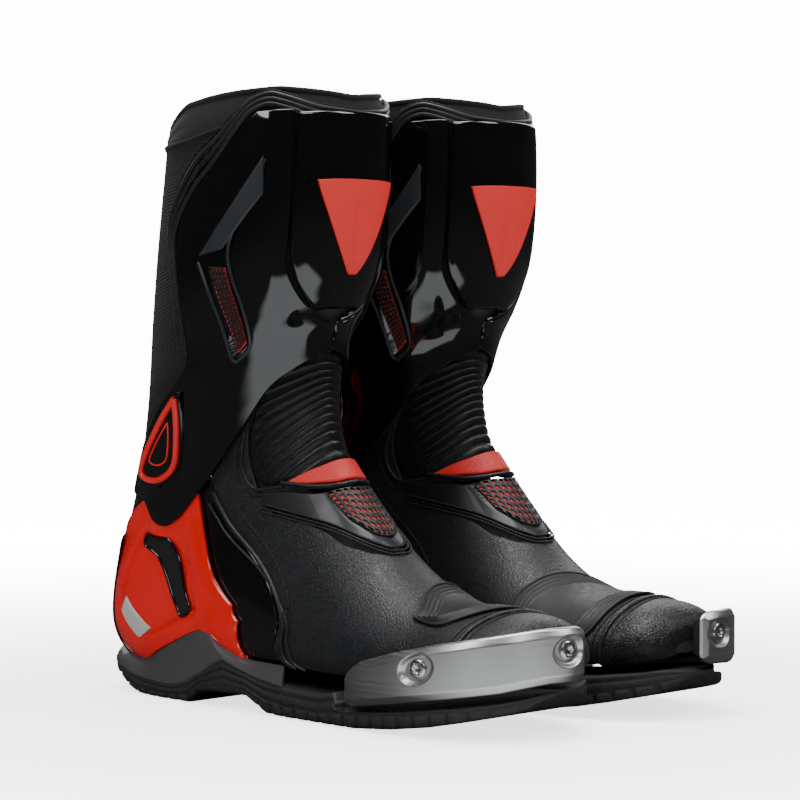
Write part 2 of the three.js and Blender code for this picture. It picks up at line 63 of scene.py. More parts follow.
# front s, z, back s, z, lateral and medial half width, widest share, squareness, sideways shift
SECTIONS = np.array([[310, 38, 308, 33, 10, 10, 0.6, 2, 2, -5],
    [306, 50, 306, 28, 25, 25, 0.6, 2, 2.6, -5], [295, 60, 299, 25, 38, 35, 0.62, 2, 3.2, -5],
    [272, 62, 273, 22, 43, 42, 0.66, 2, 3.6, -4], [241, 64, 237, 20, 42, 47, 0.68, 2, 4, -3],
    [216, 78, 201, 18, 40, 46, 0.7, 2, 4, -1], [196, 99, 161, 16, 36, 41, 0.7, 2, 4, 0],
    [179, 120, 113, 14, 33, 37, 0.68, 2, 4, 0], [165, 139, 66, 13, 31, 36, 0.64, 2, 3.6, 0],
    [161, 155, 24, 14, 30, 36, 0.58, 2, 3, 0], [160, 168, 0, 32, 31, 37, 0.54, 2, 2.4, 0],
    [159, 180, 7, 72, 36, 37, 0.5, 2.2, 2.2, 0], [161, 196, 24, 112, 43, 37, 0.5, 2.3, 2.1, 0],
    [167, 212, 34, 152, 47, 42, 0.5, 2.5, 2.1, 0], [174, 233, 41, 196, 52, 48, 0.5, 2.5, 2.1, 0],
    [178, 265, 46, 240, 53, 50, 0.5, 2.5, 2.1, 0], [179, 298, 50, 283, 51, 50, 0.5, 2.5, 2.1, 0],
    [178, 321, 53, 309, 48, 50, 0.5, 2.5, 2.1, 0],])


def through(rows, t):
    """A smooth curve through rows of numbers, carried straight on past both ends."""
    rows = np.asarray(rows, float)
    padded = np.vstack([2 * rows[0] - rows[1], rows, 2 * rows[-1] - rows[-2]])
    t = np.asarray(t, float)
    i = np.clip(np.floor(t).astype(int), 0, len(rows) - 2)
    f = (np.minimum(t, len(rows) - 1) - i)[..., None]
    a, b, c, d = (padded[i + k] for k in range(4))
    return (b + 0.5 * f * (c - a) + f ** 2 * (a - 2.5 * b + 2 * c - 0.5 * d) + f ** 3 * (1.5 * (b
        - c) + 0.5 * (d - a)))


def smoothstep(x, low, high):
    t = np.clip((x - low) / (high - low), 0, 1)
    return t * t * (3 - 2 * t)


def skin(u, bearing, lift):
    """Place (w, s, z) in mm at section u and bearing: 0 front, 90 lateral, 180 behind."""
    u, bearing, lift = np.broadcast_arrays(*(np.asarray(v, float) for v in (u, bearing, lift)))
    phi = (bearing + 180) % 360 - 180
    fs, fz, bs, bz, lat, med, mid, nf, nb, shift = np.moveaxis(through(SECTIONS, u), -1, 0)
    toe = 1 - smoothstep(u, 0, 2)
    grow = lift * (1 - toe)
    depth = np.hypot(fs - bs, fz - bz)
    ds, dz = (fs - bs) / depth, (fz - bz) / depth
    a = np.radians(np.abs(phi))
    c = np.cos(a)
    n = np.where(c > 0, nf, nb)
    reach = np.where(phi >= 0, lat, med) + grow
    w = shift + np.sign(phi) * reach * np.abs(np.sin(a)) ** (2 / n)
    share = np.abs(c) ** (2 / n)
    f = np.where(c > 0, mid * (1 - share), mid + (1 - mid) * share)
    s = (fs + ds * grow) * (1 - f) + (bs - ds * grow) * f + lift * toe
    z = (fz + dz * grow) * (1 - f) + (bz - dz * grow) * f
    return np.stack([w, s, z], -1)


def world(side, place):
    """(w, s, z) in mm to metres in the row frame."""
    w, s, z = np.moveaxis(np.asarray(place, float), -1, 0)
    step = LEFT_STEP if side > 0 else 0.0
    return np.stack([side * (w + HALF_SPACING), HEEL - s - step, z], -1) * MM


def along(pairs, x):
    pairs = np.asarray(pairs, float)
    return np.interp(x, pairs[:, 0], pairs[:, 1])


def curve(points, t):
    """A smooth curve through points, t from 0 to 1 by point number."""
    return through(points, np.asarray(t) * (len(points) - 1))


def resample(points, step):
    """Points along a smooth curve through (u, bearing) points, about step mm apart."""
    fine = curve(points, np.linspace(0, 1, 40 * len(points)))
    place = skin(fine[:, 0], fine[:, 1], 0)
    length = np.concatenate([[0], np.cumsum(np.linalg.norm(np.diff(place, axis=0), axis=1))])
    count = max(3, int(round(length[-1] / step)) + 1)
    at = np.linspace(0, length[-1], count)
    return np.stack([np.interp(at, length, fine[:, k]) for k in (0, 1)], -1)


def off_path(u, phi, path, per_u=20.0, per_degree=0.75):
    """Distance in mm from places on the skin to a smooth path on it."""
    fine = curve(path, np.linspace(0, 1, 12 * len(path))) * [per_u, per_degree]
    here = np.stack([np.ravel(u) * per_u, np.ravel(phi) * per_degree], -1)
    best = np.full(len(here), 1e9)
    for p, q in zip(fine[:-1], fine[1:]):
        d = q - p
        t = np.clip(((here - p) @ d) / max(d @ d, 1e-9), 0, 1)
        best = np.minimum(best, np.linalg.norm(here - p - t[:, None] * d, axis=1))
    return best.reshape(np.shape(u))


def inside(u, phi, outline):
    """Whether places on the skin lie inside a closed outline of (u, bearing) points."""
    poly = np.asarray(outline, float)
    hit = np.zeros(np.shape(u), bool)
    for (u0, p0), (u1, p1) in zip(poly, np.roll(poly, -1, axis=0)):
        crosses = (p0 > phi) != (p1 > phi)
        with np.errstate(divide="ignore", invalid="ignore"):
            at = (u1 - u0) * (phi - p0) / (p1 - p0) + u0
        hit ^= crosses & (u < at)
    return hit


def sunk(outline, depth, edge=1.6):
    """A raise function: the inside of an outline lies depth mm lower, with a soft edge."""
    closed = [*outline, outline[0]]

    def amount(u, phi):
        d = off_path(u, phi, closed)
        signed = np.where(inside(u, phi, outline), d, -d)
        return -depth * smoothstep(signed, -edge, edge)
    return amount


def mirrored(edge):
    return [[u, -phi] for u, phi in edge]


HANDS = (("lateral", list), ("medial", mirrored))


def both_sides(edge):
    return [*edge, *[[u, -phi] for u, phi in edge[-2::-1]]]


def round_back(edge):
    return [*edge, *[[u, 360 - phi] for u, phi in edge[-2::-1]]]


# ---------------------------------------------------------------- meshes and pieces

def spaced(t, crowd):
    """Steps from 0 to 1 that crowd towards both ends."""
    return (1 - crowd) * t + crowd * (0.5 - 0.5 * np.cos(np.pi * t))


def grid(across, rows, place, crowd=(0.5, 0.5), around=False, length=(0.1, 0.1)):
    """A grid whose points are moved to place(a, b); its UV map is in metres."""
    bm = bmesh.new()
    bmesh.ops.create_grid(bm, x_segments=across, y_segments=rows, size=0.5)
    bm.verts.ensure_lookup_table()
    ab = np.array([v.co[:2] for v in bm.verts]) + 0.5
    ab = np.stack([spaced(ab[:, 0], crowd[0]), spaced(ab[:, 1], crowd[1])], -1)
    uv = bm.loops.layers.uv.new("UVMap")
    for face in bm.faces:
        for loop in face.loops:
            a, b = ab[loop.vert.index]
            loop[uv].uv = (a * length[0], b * length[1])
    spots, out = place(ab[:, 0], ab[:, 1])
    for v, co in zip(bm.verts, spots):
        v.co = co
    bm.normal_update()
    facing = sum(f.normal.dot(Vector(out[f.verts[0].index])) for f in bm.faces)
    if facing < 0:
        bmesh.ops.reverse_faces(bm, faces=bm.faces[:])
    if around:
        bmesh.ops.remove_doubles(bm, verts=bm.verts[:], dist=1e-6)
    return bm


def piece(boot, name, bm, finish, body, stands_for=(), slot=None, thick=0.0, bevel=0.0, smooth=0):
    """Turns a mesh in the making into a named object of one boot; sizes are in mm."""
    mesh = bpy.data.meshes.new(name)
    bm.to_mesh(mesh)
    bm.free()
    mesh.materials.append(FINISHES[finish])
    obj = settle(boot, name, mesh, body, stands_for)
    if thick:
        wall = obj.modifiers.new("wall", "SOLIDIFY")
        wall.thickness, wall.offset, wall.use_even_offset = thick * MM, -1.0, False
    if bevel:
        edge = obj.modifiers.new("edge", "BEVEL")
        edge.width, edge.segments, edge.limit_method = bevel * MM, 2, "ANGLE"
        edge.angle_limit = math.radians(50)
    if smooth:
        soft = obj.modifiers.new("soft", "SUBSURF")
        soft.levels = soft.render_levels = smooth
    return obj


def settle(boot, name, mesh, body, stands_for):
    """The object of a finished mesh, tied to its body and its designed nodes."""
    mesh.polygons.foreach_set("use_smooth", [True] * len(mesh.polygons))
    obj = bpy.data.objects.new(f"{boot['name']}_{name}", mesh)
    bpy.context.scene.collection.objects.link(obj)
    if isinstance(body, str):
        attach(obj, body)
    else:
        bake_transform(obj)
    if stands_for:
        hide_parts(*(f"{boot['name']}_{node}" for node in stands_for))
    return obj


def layer(boot, name, edge_a, edge_b, lift, size, finish, body, thick=2.0, rim=1.0, raised=None,
        crowd=(0.5, 0.5), bevel=0.0, **more):
    """A skin layer between two edges of (u, bearing) points, its rim rolled in."""
    side = boot["side"]
    middle = [curve(e, np.linspace(0, 1, 60)) for e in (edge_a, edge_b)]
    ends = [skin(m[:, 0], m[:, 1], lift) for m in middle]
    wide = np.linalg.norm(ends[0] - ends[1], axis=1)
    long = np.mean([np.linalg.norm(np.diff(e, axis=0), axis=1).sum() for e in ends])

    def place(a, b):
        p, q = curve(edge_a, b), curve(edge_b, b)
        u = p[:, 0] * (1 - a) + q[:, 0] * a
        phi = p[:, 1] * (1 - a) + q[:, 1] * a
        up = np.zeros_like(u) if raised is None else raised(u, phi)
        width = np.interp(b, np.linspace(0, 1, 60), wide)
        near = np.minimum(np.minimum(a, 1 - a) * width, np.minimum(b, 1 - b) * long)
        flatness = 1 - np.clip(near / rim, 0, 1)
        roll = rim * (1 - np.sqrt(1 - flatness ** 2))
        spots = world(side, skin(u, phi, lift + up - roll))
        return spots, world(side, skin(u, phi, lift + 2)) - world(side, skin(u, phi, lift))
    bm = grid(*size, place, crowd, length=(wide.mean() * MM, long * MM))
    return piece(boot, name, bm, finish, body, thick=thick, bevel=bevel, **more)


def sleeve(boot, name, low, high, lift, size, finish, body, thick=2.0, raised=None, **more):
    """A layer all the way round the boot, between two heights that vary with bearing."""
    side = boot["side"]

    def place(a, b):
        phi = 360 * a - 180
        u = along(low, np.abs(phi)) * (1 - b) + along(high, np.abs(phi)) * b
        up = np.zeros_like(u) if raised is None else raised(u, phi, b)
        spots = world(side, skin(u, phi, lift + up))
        return spots, world(side, skin(u, phi, lift + 2)) - world(side, skin(u, phi, lift))
    bm = grid(*size, place, (0, 0), around=True, length=(0.33, 0.06))
    return piece(boot, name, bm, finish, body, thick=thick, **more)


def tubes(boot, name, paths, radius, finish, body, lift=0.0, sides=2, step=2.2,
        closed=False):
    """Round beads along paths of (u, bearing) or (u, bearing, lift) points, as one piece."""
    shape = bead(name, radius, sides)
    for path in paths:
        path = np.asarray(path, float)
        flat = resample(path[:, :2], step)
        lifts = lift if path.shape[1] == 2 else lift + np.interp(np.linspace(0, 1, len(flat)),
            np.linspace(0, 1, len(path)), path[:, 2])
        spots = world(boot["side"], skin(flat[:, 0], flat[:, 1], lifts))
        add_spline(shape, spots, closed)
    return from_curve(boot, name, shape, finish, body)


def bead(name, radius, sides):
    shape = bpy.data.curves.new(name, "CURVE")
    shape.dimensions, shape.bevel_depth, shape.bevel_resolution = "3D", radius * MM, sides
    shape.use_fill_caps = True
    return shape


def add_spline(shape, spots, closed=False):
    line = shape.splines.new("POLY")
    line.points.add(len(spots) - 1)
    line.points.foreach_set("co", np.hstack([spots, np.ones((len(spots), 1))]).ravel())
    line.use_cyclic_u = closed


def from_curve(boot, name, shape, finish, body):
    shape.materials.append(FINISHES[finish])
    drawn = bpy.data.objects.new(name + ".line", shape)
    bpy.context.scene.collection.objects.link(drawn)
    graph = bpy.context.evaluated_depsgraph_get()
    mesh = bpy.data.meshes.new_from_object(drawn.evaluated_get(graph))
    bpy.data.objects.remove(drawn)
    return settle(boot, name, mesh, body, ())


def stitches(boot, name, paths, finish, body, lift=0.0, pitch=3.2, radius=0.38):
    """A sewn thread along each path: one short lump of thread for each stitch."""
    shape = bead(name, radius, 1)
    for path in paths:
        flat = resample(path, pitch)
        for p, q in zip(flat[:-1], flat[1:]):
            ends = np.array([p + (q - p) * k for k in (0.1, 0.5, 0.9)])
            lifts = lift + np.array([-0.15, 0.2, -0.15])
            add_spline(shape, world(boot["side"], skin(ends[:, 0], ends[:, 1], lifts)))
    return from_curve(boot, name, shape, finish, body)


def perforated(boot, name, edge_a, edge_b, cells, lift, finish, body, thick=1.2, bar=0.3, smooth=2,
        **more):
    """A panel whose grid cells are open, rounded by subdivision."""
    side = boot["side"]
    bm = bmesh.new()
    bmesh.ops.create_grid(bm, x_segments=cells[0], y_segments=cells[1], size=0.5)
    bmesh.ops.scale(bm, vec=(cells[0], cells[1], 1), verts=bm.verts[:])
    bmesh.ops.inset_individual(bm, faces=bm.faces[:], thickness=bar / 2)
    centre = [f for f in bm.faces if all(not e.is_boundary and len(v.link_edges) == 3
        for v in f.verts for e in v.link_edges)]
    bmesh.ops.delete(bm, geom=centre, context="FACES_ONLY")
    ab = np.array([v.co[:2] for v in bm.verts]) / cells + 0.5
    a2, b = ab[:, 0], ab[:, 1]
    p, q = curve(edge_a, b), curve(edge_b, b)
    u = p[:, 0] * (1 - a2) + q[:, 0] * a2
    phi = p[:, 1] * (1 - a2) + q[:, 1] * a2
    for v, co in zip(bm.verts, world(side, skin(u, phi, lift))):
        v.co = co
    bm.normal_update()
    out = Vector(world(side, skin(u[:1], phi[:1], lift + 2))[0] - world(side,
        skin(u[:1], phi[:1], lift))[0])
    bm.faces.ensure_lookup_table()
    if bm.faces[0].normal.dot(out) < 0:
        bmesh.ops.reverse_faces(bm, faces=bm.faces[:])
    return piece(boot, name, bm, finish, body, thick=thick, smooth=smooth, **more)


# ---------------------------------------------------------------- finishes

class Wire:
    """A shader socket, or a plain number, with the operators that the finishes use."""

    def __init__(self, kit, value):
        self.kit, self.value = kit, value

    def _math(self, operation, *values):
        return self.kit.node("ShaderNodeMath", {"operation": operation}, *values)

    def __add__(self, other):
        return self._math("ADD", self, other)

    def __sub__(self, other):
        return self._math("SUBTRACT", self, other)

    def __mul__(self, other):
        return self._math("MULTIPLY", self, other)

    def __rsub__(self, other):
        return self._math("SUBTRACT", other, self)

    def power(self, other):
        return self._math("POWER", self, other)

    def wave(self):
        return self._math("SINE", self) * 0.5 + 0.5

    def between(self, low, high, to_low=0.0, to_high=1.0):
        return self.kit.node("ShaderNodeMapRange", {"interpolation_type": "SMOOTHSTEP"}, self, low,
            high, to_low, to_high)


class Finish:
    """One material with a Principled shader; set() takes numbers, colours or wires."""

    def __init__(self, name, colour, roughness=0.5, **constants):
        self.material = bpy.data.materials.new(name)
        self.material.use_nodes = True
        self.material.diffuse_color = (*colour, 1)
        self.tree = self.material.node_tree
        self.shader = self.tree.nodes["Principled BSDF"]
        self.set("Base Color", (*colour, 1))
        self.set("Roughness", roughness)
        for key, value in constants.items():
            self.set(key.replace("_", " "), value)
        self.bumps = None

    def node(self, kind, settings=None, *values, out=0, **named):
        made = self.tree.nodes.new(kind)
        for key, value in (settings or {}).items():
            setattr(made, key, value)
        for key, value in [*enumerate(values), *named.items()]:
            self._feed(made.inputs[key], value)
        return Wire(self, made.outputs[out])

    def _feed(self, socket, value):
        value = value.value if isinstance(value, Wire) else value
        if isinstance(value, bpy.types.NodeSocket):
            self.tree.links.new(value, socket)
        else:
            socket.default_value = value

    def set(self, key, value):
        self._feed(self.shader.inputs[key], value)
        return self

    def spot(self):
        return self.node("ShaderNodeTexCoord", out="Object")

    def uv(self):
        flat = self.node("ShaderNodeTexCoord", out="UV")
        parts = self.tree.nodes.new("ShaderNodeSeparateXYZ")
        self.tree.links.new(flat.value, parts.inputs[0])
        return Wire(self, parts.outputs[0]), Wire(self, parts.outputs[1])

    def xyz(self):
        parts = self.tree.nodes.new("ShaderNodeSeparateXYZ")
        self.tree.links.new(self.spot().value, parts.inputs[0])
        return [Wire(self, parts.outputs[k]) for k in range(3)]

    def noise(self, scale, detail=2.0, roughness=0.5, where=None):
        return self.node("ShaderNodeTexNoise", None, Vector=where or self.spot(), Scale=scale,
            Detail=detail, Roughness=roughness, out="Fac")

    def cells(self, scale, feature="F1"):
        return self.node("ShaderNodeTexVoronoi", {"feature": feature}, Vector=self.spot(),
            Scale=scale, out="Distance")

    def blend(self, share, first, second):
        made = self.tree.nodes.new("ShaderNodeMix")
        made.data_type = "RGBA"
        colours = [s for s in made.inputs if s.type == "RGBA"]
        self._feed(made.inputs[0], share)
        for socket, value in zip(colours, (first, second)):
            self._feed(socket, (*value, 1) if isinstance(value, tuple) else value)
        return Wire(self, next(s for s in made.outputs if s.type == "RGBA"))

    def bump(self, height, distance, strength=1.0):
        """Adds relief: distance is its height in mm."""
        relief = {"Strength": strength, "Distance": distance * MM, "Height": height}
        if self.bumps is not None:
            relief["Normal"] = self.bumps
        self.bumps = self.node("ShaderNodeBump", None, **relief)
        self.set("Normal", self.bumps)
        return self


def moulded_gloss(name, colour, roughness=0.12, coat=1.0):
    f = Finish(name, colour, roughness, Coat_Weight=coat, Coat_Roughness=0.03,
        Specular_IOR_Level=0.4)
    haze = f.noise(35, 3)
    f.set("Roughness", haze.between(0.3, 0.7, roughness * 0.8, roughness * 1.35))
    f.set("Base Color", f.blend(f.noise(12, 2), colour, tuple(min(1, c * 1.12) for c in colour)))
    f.bump(f.noise(160, 2), 0.012)
    f.bump(f.noise(22, 2), 0.06)
    return f.material


def leather(name, colour, painted_sheen_and_tone, roughness=0.45, grain=0.16, scale=620):
    f = Finish(name, colour, roughness, Sheen_Weight=0.04, Sheen_Roughness=0.4,
        Specular_IOR_Level=0.4)
    pores = f.cells(scale, "DISTANCE_TO_EDGE")
    pebble = pores.between(0.0, 0.35)
    broad = f.noise(45, 4, 0.6)
    # The grain tops take the lighter colour and the creases between them the darker one: painted
    # sheen and painted shade; the broad noise adds the leather's own uneven tone.
    f.set("Base Color", f.blend(pebble * 0.6 + broad * 0.4, colour, painted_sheen_and_tone))
    f.set("Roughness", broad.between(0.3, 0.75, roughness * 0.82, roughness * 1.2))
    f.bump(pebble, grain)
    f.bump(f.noise(1500, 2), 0.03)
    f.bump(f.noise(90, 3), 0.05)
    return f.material


def rubber(name, colour, roughness=0.62, speckle=0.08):
    f = Finish(name, colour, roughness, Specular_IOR_Level=0.4)
    dust = f.noise(240, 4, 0.65)
    f.set("Base Color", f.blend(dust, colour, tuple(c * 1.5 for c in colour)))
    f.set("Roughness", dust.between(0.3, 0.7, roughness - speckle, roughness + speckle))
    f.bump(f.noise(1300, 2), 0.035)
    return f


def microfibre(name, colour, light):
    f = Finish(name, colour, 0.9, Sheen_Weight=0.06, Sheen_Roughness=0.45, Specular_IOR_Level=0.2)
    nap = f.noise(900, 3, 0.7)
    streak = f.noise(60, 4, 0.6)
    f.set("Base Color", f.blend(nap * 0.5 + streak * 0.5, colour, light))
    f.bump(nap, 0.1)
    f.bump(f.noise(35, 3), 0.35)
    return f.material


def ribbed_textile(name, colour, light, pitch=1.05):
    """Fine ribs across the calf, each one a row of small stitches."""
    f = Finish(name, colour, 0.85, Sheen_Weight=0.03, Sheen_Roughness=0.5, Specular_IOR_Level=0.15)
    u, v = f.uv()
    rib = (v * (2 * math.pi / (pitch * MM))).wave()
    loop = (u * (2 * math.pi / (0.9 * MM))).wave()
    f.set("Base Color", f.blend(rib * 0.7 + loop * 0.3, colour, light))
    f.bump(rib, 0.4)
    f.bump(rib * loop, 0.12)
    return f.material


def knit(name, colour, light):
    f = Finish(name, colour, 0.95, Sheen_Weight=0.05, Specular_IOR_Level=0.2)
    weave = f.cells(1100)
    f.set("Base Color", f.blend(weave, light, colour))
    f.bump(weave, 0.15)
    return f.material


def brushed(name, colour, roughness=0.32, along_axis=(8, 8, 1500), depth=0.015):
    f = Finish(name, colour, roughness, Metallic=1.0)
    stretched = f.node("ShaderNodeVectorMath", {"operation": "MULTIPLY"}, f.spot(), along_axis)
    scratch = f.noise(1.0, 3, 0.6, where=stretched)
    smudge = f.noise(40, 3)
    f.set("Roughness", scratch.between(0.25, 0.75, roughness * 0.8, roughness * 1.25))
    f.set("Base Color", f.blend(smudge, colour, tuple(c * 0.9 for c in colour)))
    f.bump(scratch, depth)
    return f.material


BLACK = (0.0016, 0.0016, 0.0018)
RED = (0.37, 0.0015, 0.0005)
FINISHES = {
    "shell": moulded_gloss("gloss_shell", BLACK, 0.07),
    "shin": moulded_gloss("gloss_shin_plate", (0.0013, 0.0013, 0.0015), 0.05),
    "counter": moulded_gloss("gloss_counter", BLACK, 0.12),
    "red": moulded_gloss("gloss_red_cup", RED, 0.16),
    "red_rim": moulded_gloss("satin_red_rim", RED, 0.3, 0.4),
    "instep": moulded_gloss("slate_instep", (0.0035, 0.0048, 0.006), 0.36, 0.12),
    "satin": moulded_gloss("satin_heel_band", (0.03, 0.03, 0.0305), 0.34, 0.3),
    "vent": moulded_gloss("satin_vent_frame", (0.012, 0.0145, 0.0165), 0.36, 0.25),
    "badge": Finish("matt_red_badge", (0.46, 0.005, 0.002), 0.5, Coat_Weight=0.05).material,
    "leather": leather("grained_leather", (0.0042, 0.0048, 0.0056), (0.011, 0.0125, 0.0145),
                       0.42, 0.12),
    "toe_leather": leather("toe_leather", (0.0028, 0.0032, 0.0038), (0.007, 0.0078, 0.009), 0.38),
    "bellows": leather("bellows_leather", (0.0025, 0.0027, 0.003), (0.005, 0.0054, 0.0062), 0.33,
                       0.06, 900),
    "tab": leather("red_tab_leather", (0.36, 0.0035, 0.0015), (0.43, 0.006, 0.003), 0.5, 0.08,
                   700),
    "underlay": leather("red_underlay", (0.3, 0.008, 0.008), (0.42, 0.016, 0.014), 0.6),
    "collar": microfibre("collar_microfibre", (0.0042, 0.0045, 0.0047), (0.0098, 0.0104, 0.0107)),
    "piping": leather("coated_piping", (0.0042, 0.0045, 0.0048), (0.009, 0.0095, 0.01), 0.38,
                      0.05, 900),
    "thread": leather("black_thread", (0.0035, 0.0037, 0.004), (0.009, 0.0095, 0.01), 0.5, 0.05,
                      2000),
    "textile": ribbed_textile("ribbed_calf_textile", (0.0012, 0.0012, 0.0014),
                              (0.014, 0.0146, 0.0152), 1.7),
    "lining": knit("knitted_lining", (0.012, 0.012, 0.013), (0.03, 0.03, 0.031)),
    "footbed": knit("footbed_cloth", (0.02, 0.02, 0.021), (0.045, 0.045, 0.046)),
    "tape": ribbed_textile("zip_tape_cloth", (0.004, 0.004, 0.0043), (0.011, 0.011, 0.0115), 0.7),
    "strap": knit("strap_cloth", (0.005, 0.005, 0.0055), (0.014, 0.014, 0.015)),
    "sole": rubber("sole_rubber", (0.009, 0.0092, 0.0095)).material,
    "shift": rubber("shift_pad_rubber", (0.0085, 0.0082, 0.0078), 0.5).material,
    "pad": moulded_gloss("silver_heel_pad", (0.22, 0.22, 0.21), 0.3, 0.3),
    "alloy": brushed("brushed_alloy", (0.6, 0.595, 0.585), 0.36),
    "steel": brushed("turned_steel", (0.55, 0.55, 0.545), 0.25, (900, 900, 900), 0.01),
    "zip": brushed("dark_zip_metal", (0.11, 0.112, 0.115), 0.35),
    "dark": Finish("dark_recess", (0.004, 0.004, 0.0042), 0.7).material,
    "mesh": knit("black_mesh", (0.0008, 0.0008, 0.0009), (0.005, 0.005, 0.0053)),
    "red_mesh": leather("red_mesh_underlay", (0.4, 0.012, 0.01), (0.75, 0.04, 0.02), 0.6),
}


# ---------------------------------------------------------------- foot

def crossing(boot, low, high):
    """Where a piece passes from the foot to the shaft: the names of both bodies and two spots on
    the skin.
    """
    start, end = (world(boot["side"], skin(*spot, 0)) for spot in (low, high))
    return (f"{boot['name']}_foot", f"{boot['name']}_shaft", tuple(start), tuple(end))


VAMP_OUTER = [[10.2, 74], [9.1, 71], [7.8, 70], [6.95, 76], [6.45, 89], [6.3, 114], [5.4, 128],
    [4, 132], [2.75, 132], [2.75, 108], [2.75, 82], [2.75, 60], [2.75, 40], [2.75, 20], [2.75, 0]]
VAMP_INNER = [[10.6, 56], [9.2, 56], [8.2, 56], [7.6, 53], [7.05, 46], [6.6, 41], [6.15, 37],
    [5.85, 30], [5.66, 24], [5.56, 18], [5.48, 13], [5.44, 9], [5.41, 6], [5.4, 3], [5.4, 0]]
REAR_PIPING = [[9.8, 72.9], [9.1, 71.5], [7.75, 70.5], [6.92, 77], [6.46, 89], [6.2, 112],
    [6.0, 122]]
COUNTER_HIGH = [[6.6, 89], [7.1, 77], [7.95, 71], [9.2, 72], [10.25, 75], [10.5, 93], [11.1, 116],
    [11.4, 148], [11.4, 180]]
COUNTER_LOW = [[6.2, 114], [6.4, 124], [6.9, 130], [7.4, 140], [7.9, 146], [8.4, 152], [8.8, 158],
    [9.3, 166], [9.6, 180]]
CUP_HIGH = [[7.28, 91.5], [8.1, 86.5], [9.1, 80.5], [10.1, 79.5], [10.6, 93], [11.1, 112],
    [11.25, 146], [11.25, 180]]
CUP_LOW = [[6.84, 116], [7.35, 108], [7.8, 102], [8.1, 110], [8.5, 130], [8.76, 148], [9.3, 159],
    [9.75, 180]]
CUP_WELL = [[10.52, 108], [9.68, 91], [9.1, 89.5], [8.2, 95], [8.45, 103], [8.75, 117],
    [9.15, 131], [9.95, 134]]
SLIDER_LOW = [[205, 10], [215, 11], [245, 15], [275, 19.5], [303, 24], [318, 28]]
SLIDER_HIGH = [[205, 22], [212, 29], [223, 34.5], [245, 40.5], [275, 47], [303, 52], [318, 55]]
SLIDER_PATH = [[45, 209], [47.5, 220], [48, 238], [47.6, 256], [46, 272], [42.5, 287], [36, 300],
    [27, 310], [15, 317], [2, 320.5], [-12, 319.5]]


def add_vamp(boot):
    body = boot["foot"]
    layer(boot, "vamp_leather", both_sides(VAMP_OUTER), both_sides(VAMP_INNER), -2.8, (70, 240),
        "leather", body, stands_for=["vamp"], slot="black_leather", thick=1.6, rim=0.8)
    tubes(boot, "vamp_piping", [both_sides(REAR_PIPING)[:7], mirrored(REAR_PIPING)], 1.5, "piping",
        body, lift=-2.2)
    inner = [[u - 0.16, p + 2.6] for u, p in REAR_PIPING]
    tubes(boot, "vamp_piping_inner", [inner, mirrored(inner)], 0.8, "piping", body,
        lift=-2.2)
    seam = [[u - 0.05, p - 5.5] for u, p in REAR_PIPING[:6]]
    stitches(boot, "vamp_rear_stitching", [seam, mirrored(seam)], "thread", body,
        lift=-2.6)
    toe_rows = [134, 106, 82, 60, 40, 20, 0]
    low, high = ([[u, p] for p in toe_rows] for u in (2.8, 0.12))
    layer(boot, "toe_leather", both_sides(low), both_sides(high), -2.7, (60, 120), "toe_leather",
        body, stands_for=["toe_cap"], slot="toe_leather", thick=1.4, rim=0.8)
    welt = [[2.78 + 0.12 * math.sin(k / 3), 132 - 264 * k / 24] for k in range(25)]
    tubes(boot, "toe_welt", [welt], 1.3, "toe_leather", body, lift=-2.4)
    stitches(boot, "toe_stitching", [[[u + d, p] for u, p in welt] for d in (-0.16, 0.17)],
        "thread", body, lift=-2.5)


def add_instep(boot):
    body = boot["foot"]
    upper = [[8.65, 56.5], [8.05, 47], [7.35, 33], [7.0, 14], [6.95, 0]]
    lower = [[8.25, 57], [7.35, 47.5], [6.7, 38], [5.9, 22], [5.5, 0]]
    layer(boot, "instep_panel", both_sides(upper), both_sides(lower), -2.2, (50, 130), "instep",
        body, stands_for=["instep_panel"], slot="instep_panel", thick=1.6, rim=1.2,
        raised=lambda u, p: 0.5 * sunk(both_sides([[7.22, 30], [7.0, 15],
        [6.86, 0]])[:5] + both_sides([[6.4, 24], [5.86, 12], [5.72, 0]])[::-1], 1.0)(u, p))
    perforated(boot, "instep_grille", both_sides([[7.2, 30], [7.0, 15], [6.88, 0]]),
        both_sides([[6.42, 25], [5.88, 13], [5.74, 0]]), (7, 11), -1.3, "bellows", body,
        slot="instep_panel", thick=0.9, bar=0.46)
    layer(boot, "instep_underlay", both_sides([[7.12, 28], [6.93, 14], [6.82, 0]]),
        both_sides([[6.5, 24], [5.98, 12], [5.84, 0]]), -2.15, (24, 40), "underlay", body,
        thick=0.4, rim=0.1, slot="red_tab")
    rope = [[8.3, 57], [7.42, 47.5], [6.78, 38.5], [5.98, 24], [5.6, 10], [5.54, 0]]
    outer = [[u - 0.15, p + 1.5] for u, p in rope]
    stitches(boot, "instep_stitching", [both_sides(rope), both_sides(outer)], "thread", body,
        lift=-2.1, pitch=2.4, radius=0.5)
    edge = [[u - 0.07, p + 0.8] for u, p in rope]
    tubes(boot, "instep_edge", [both_sides(edge)], 0.55, "piping", body, lift=-2.3)
    tab_upper = [[8.12, 43.5], [7.92, 34], [7.7, 20], [7.6, 0]]
    tab_lower = [[8.02, 43.5], [7.55, 32], [7.2, 18], [7.1, 0]]
    layer(boot, "instep_tab", both_sides(tab_upper), both_sides(tab_lower), -1.0, (20, 80), "tab",
        body, stands_for=["instep_tab"], slot="red_tab", thick=1.6, rim=1.2)
    roll = [[8.2, 45.5], [7.5, 33], [7.12, 18], [7.02, 0]]
    tubes(boot, "instep_roll", [both_sides(roll)], 1.35, "bellows", body,
        lift=-1.8)


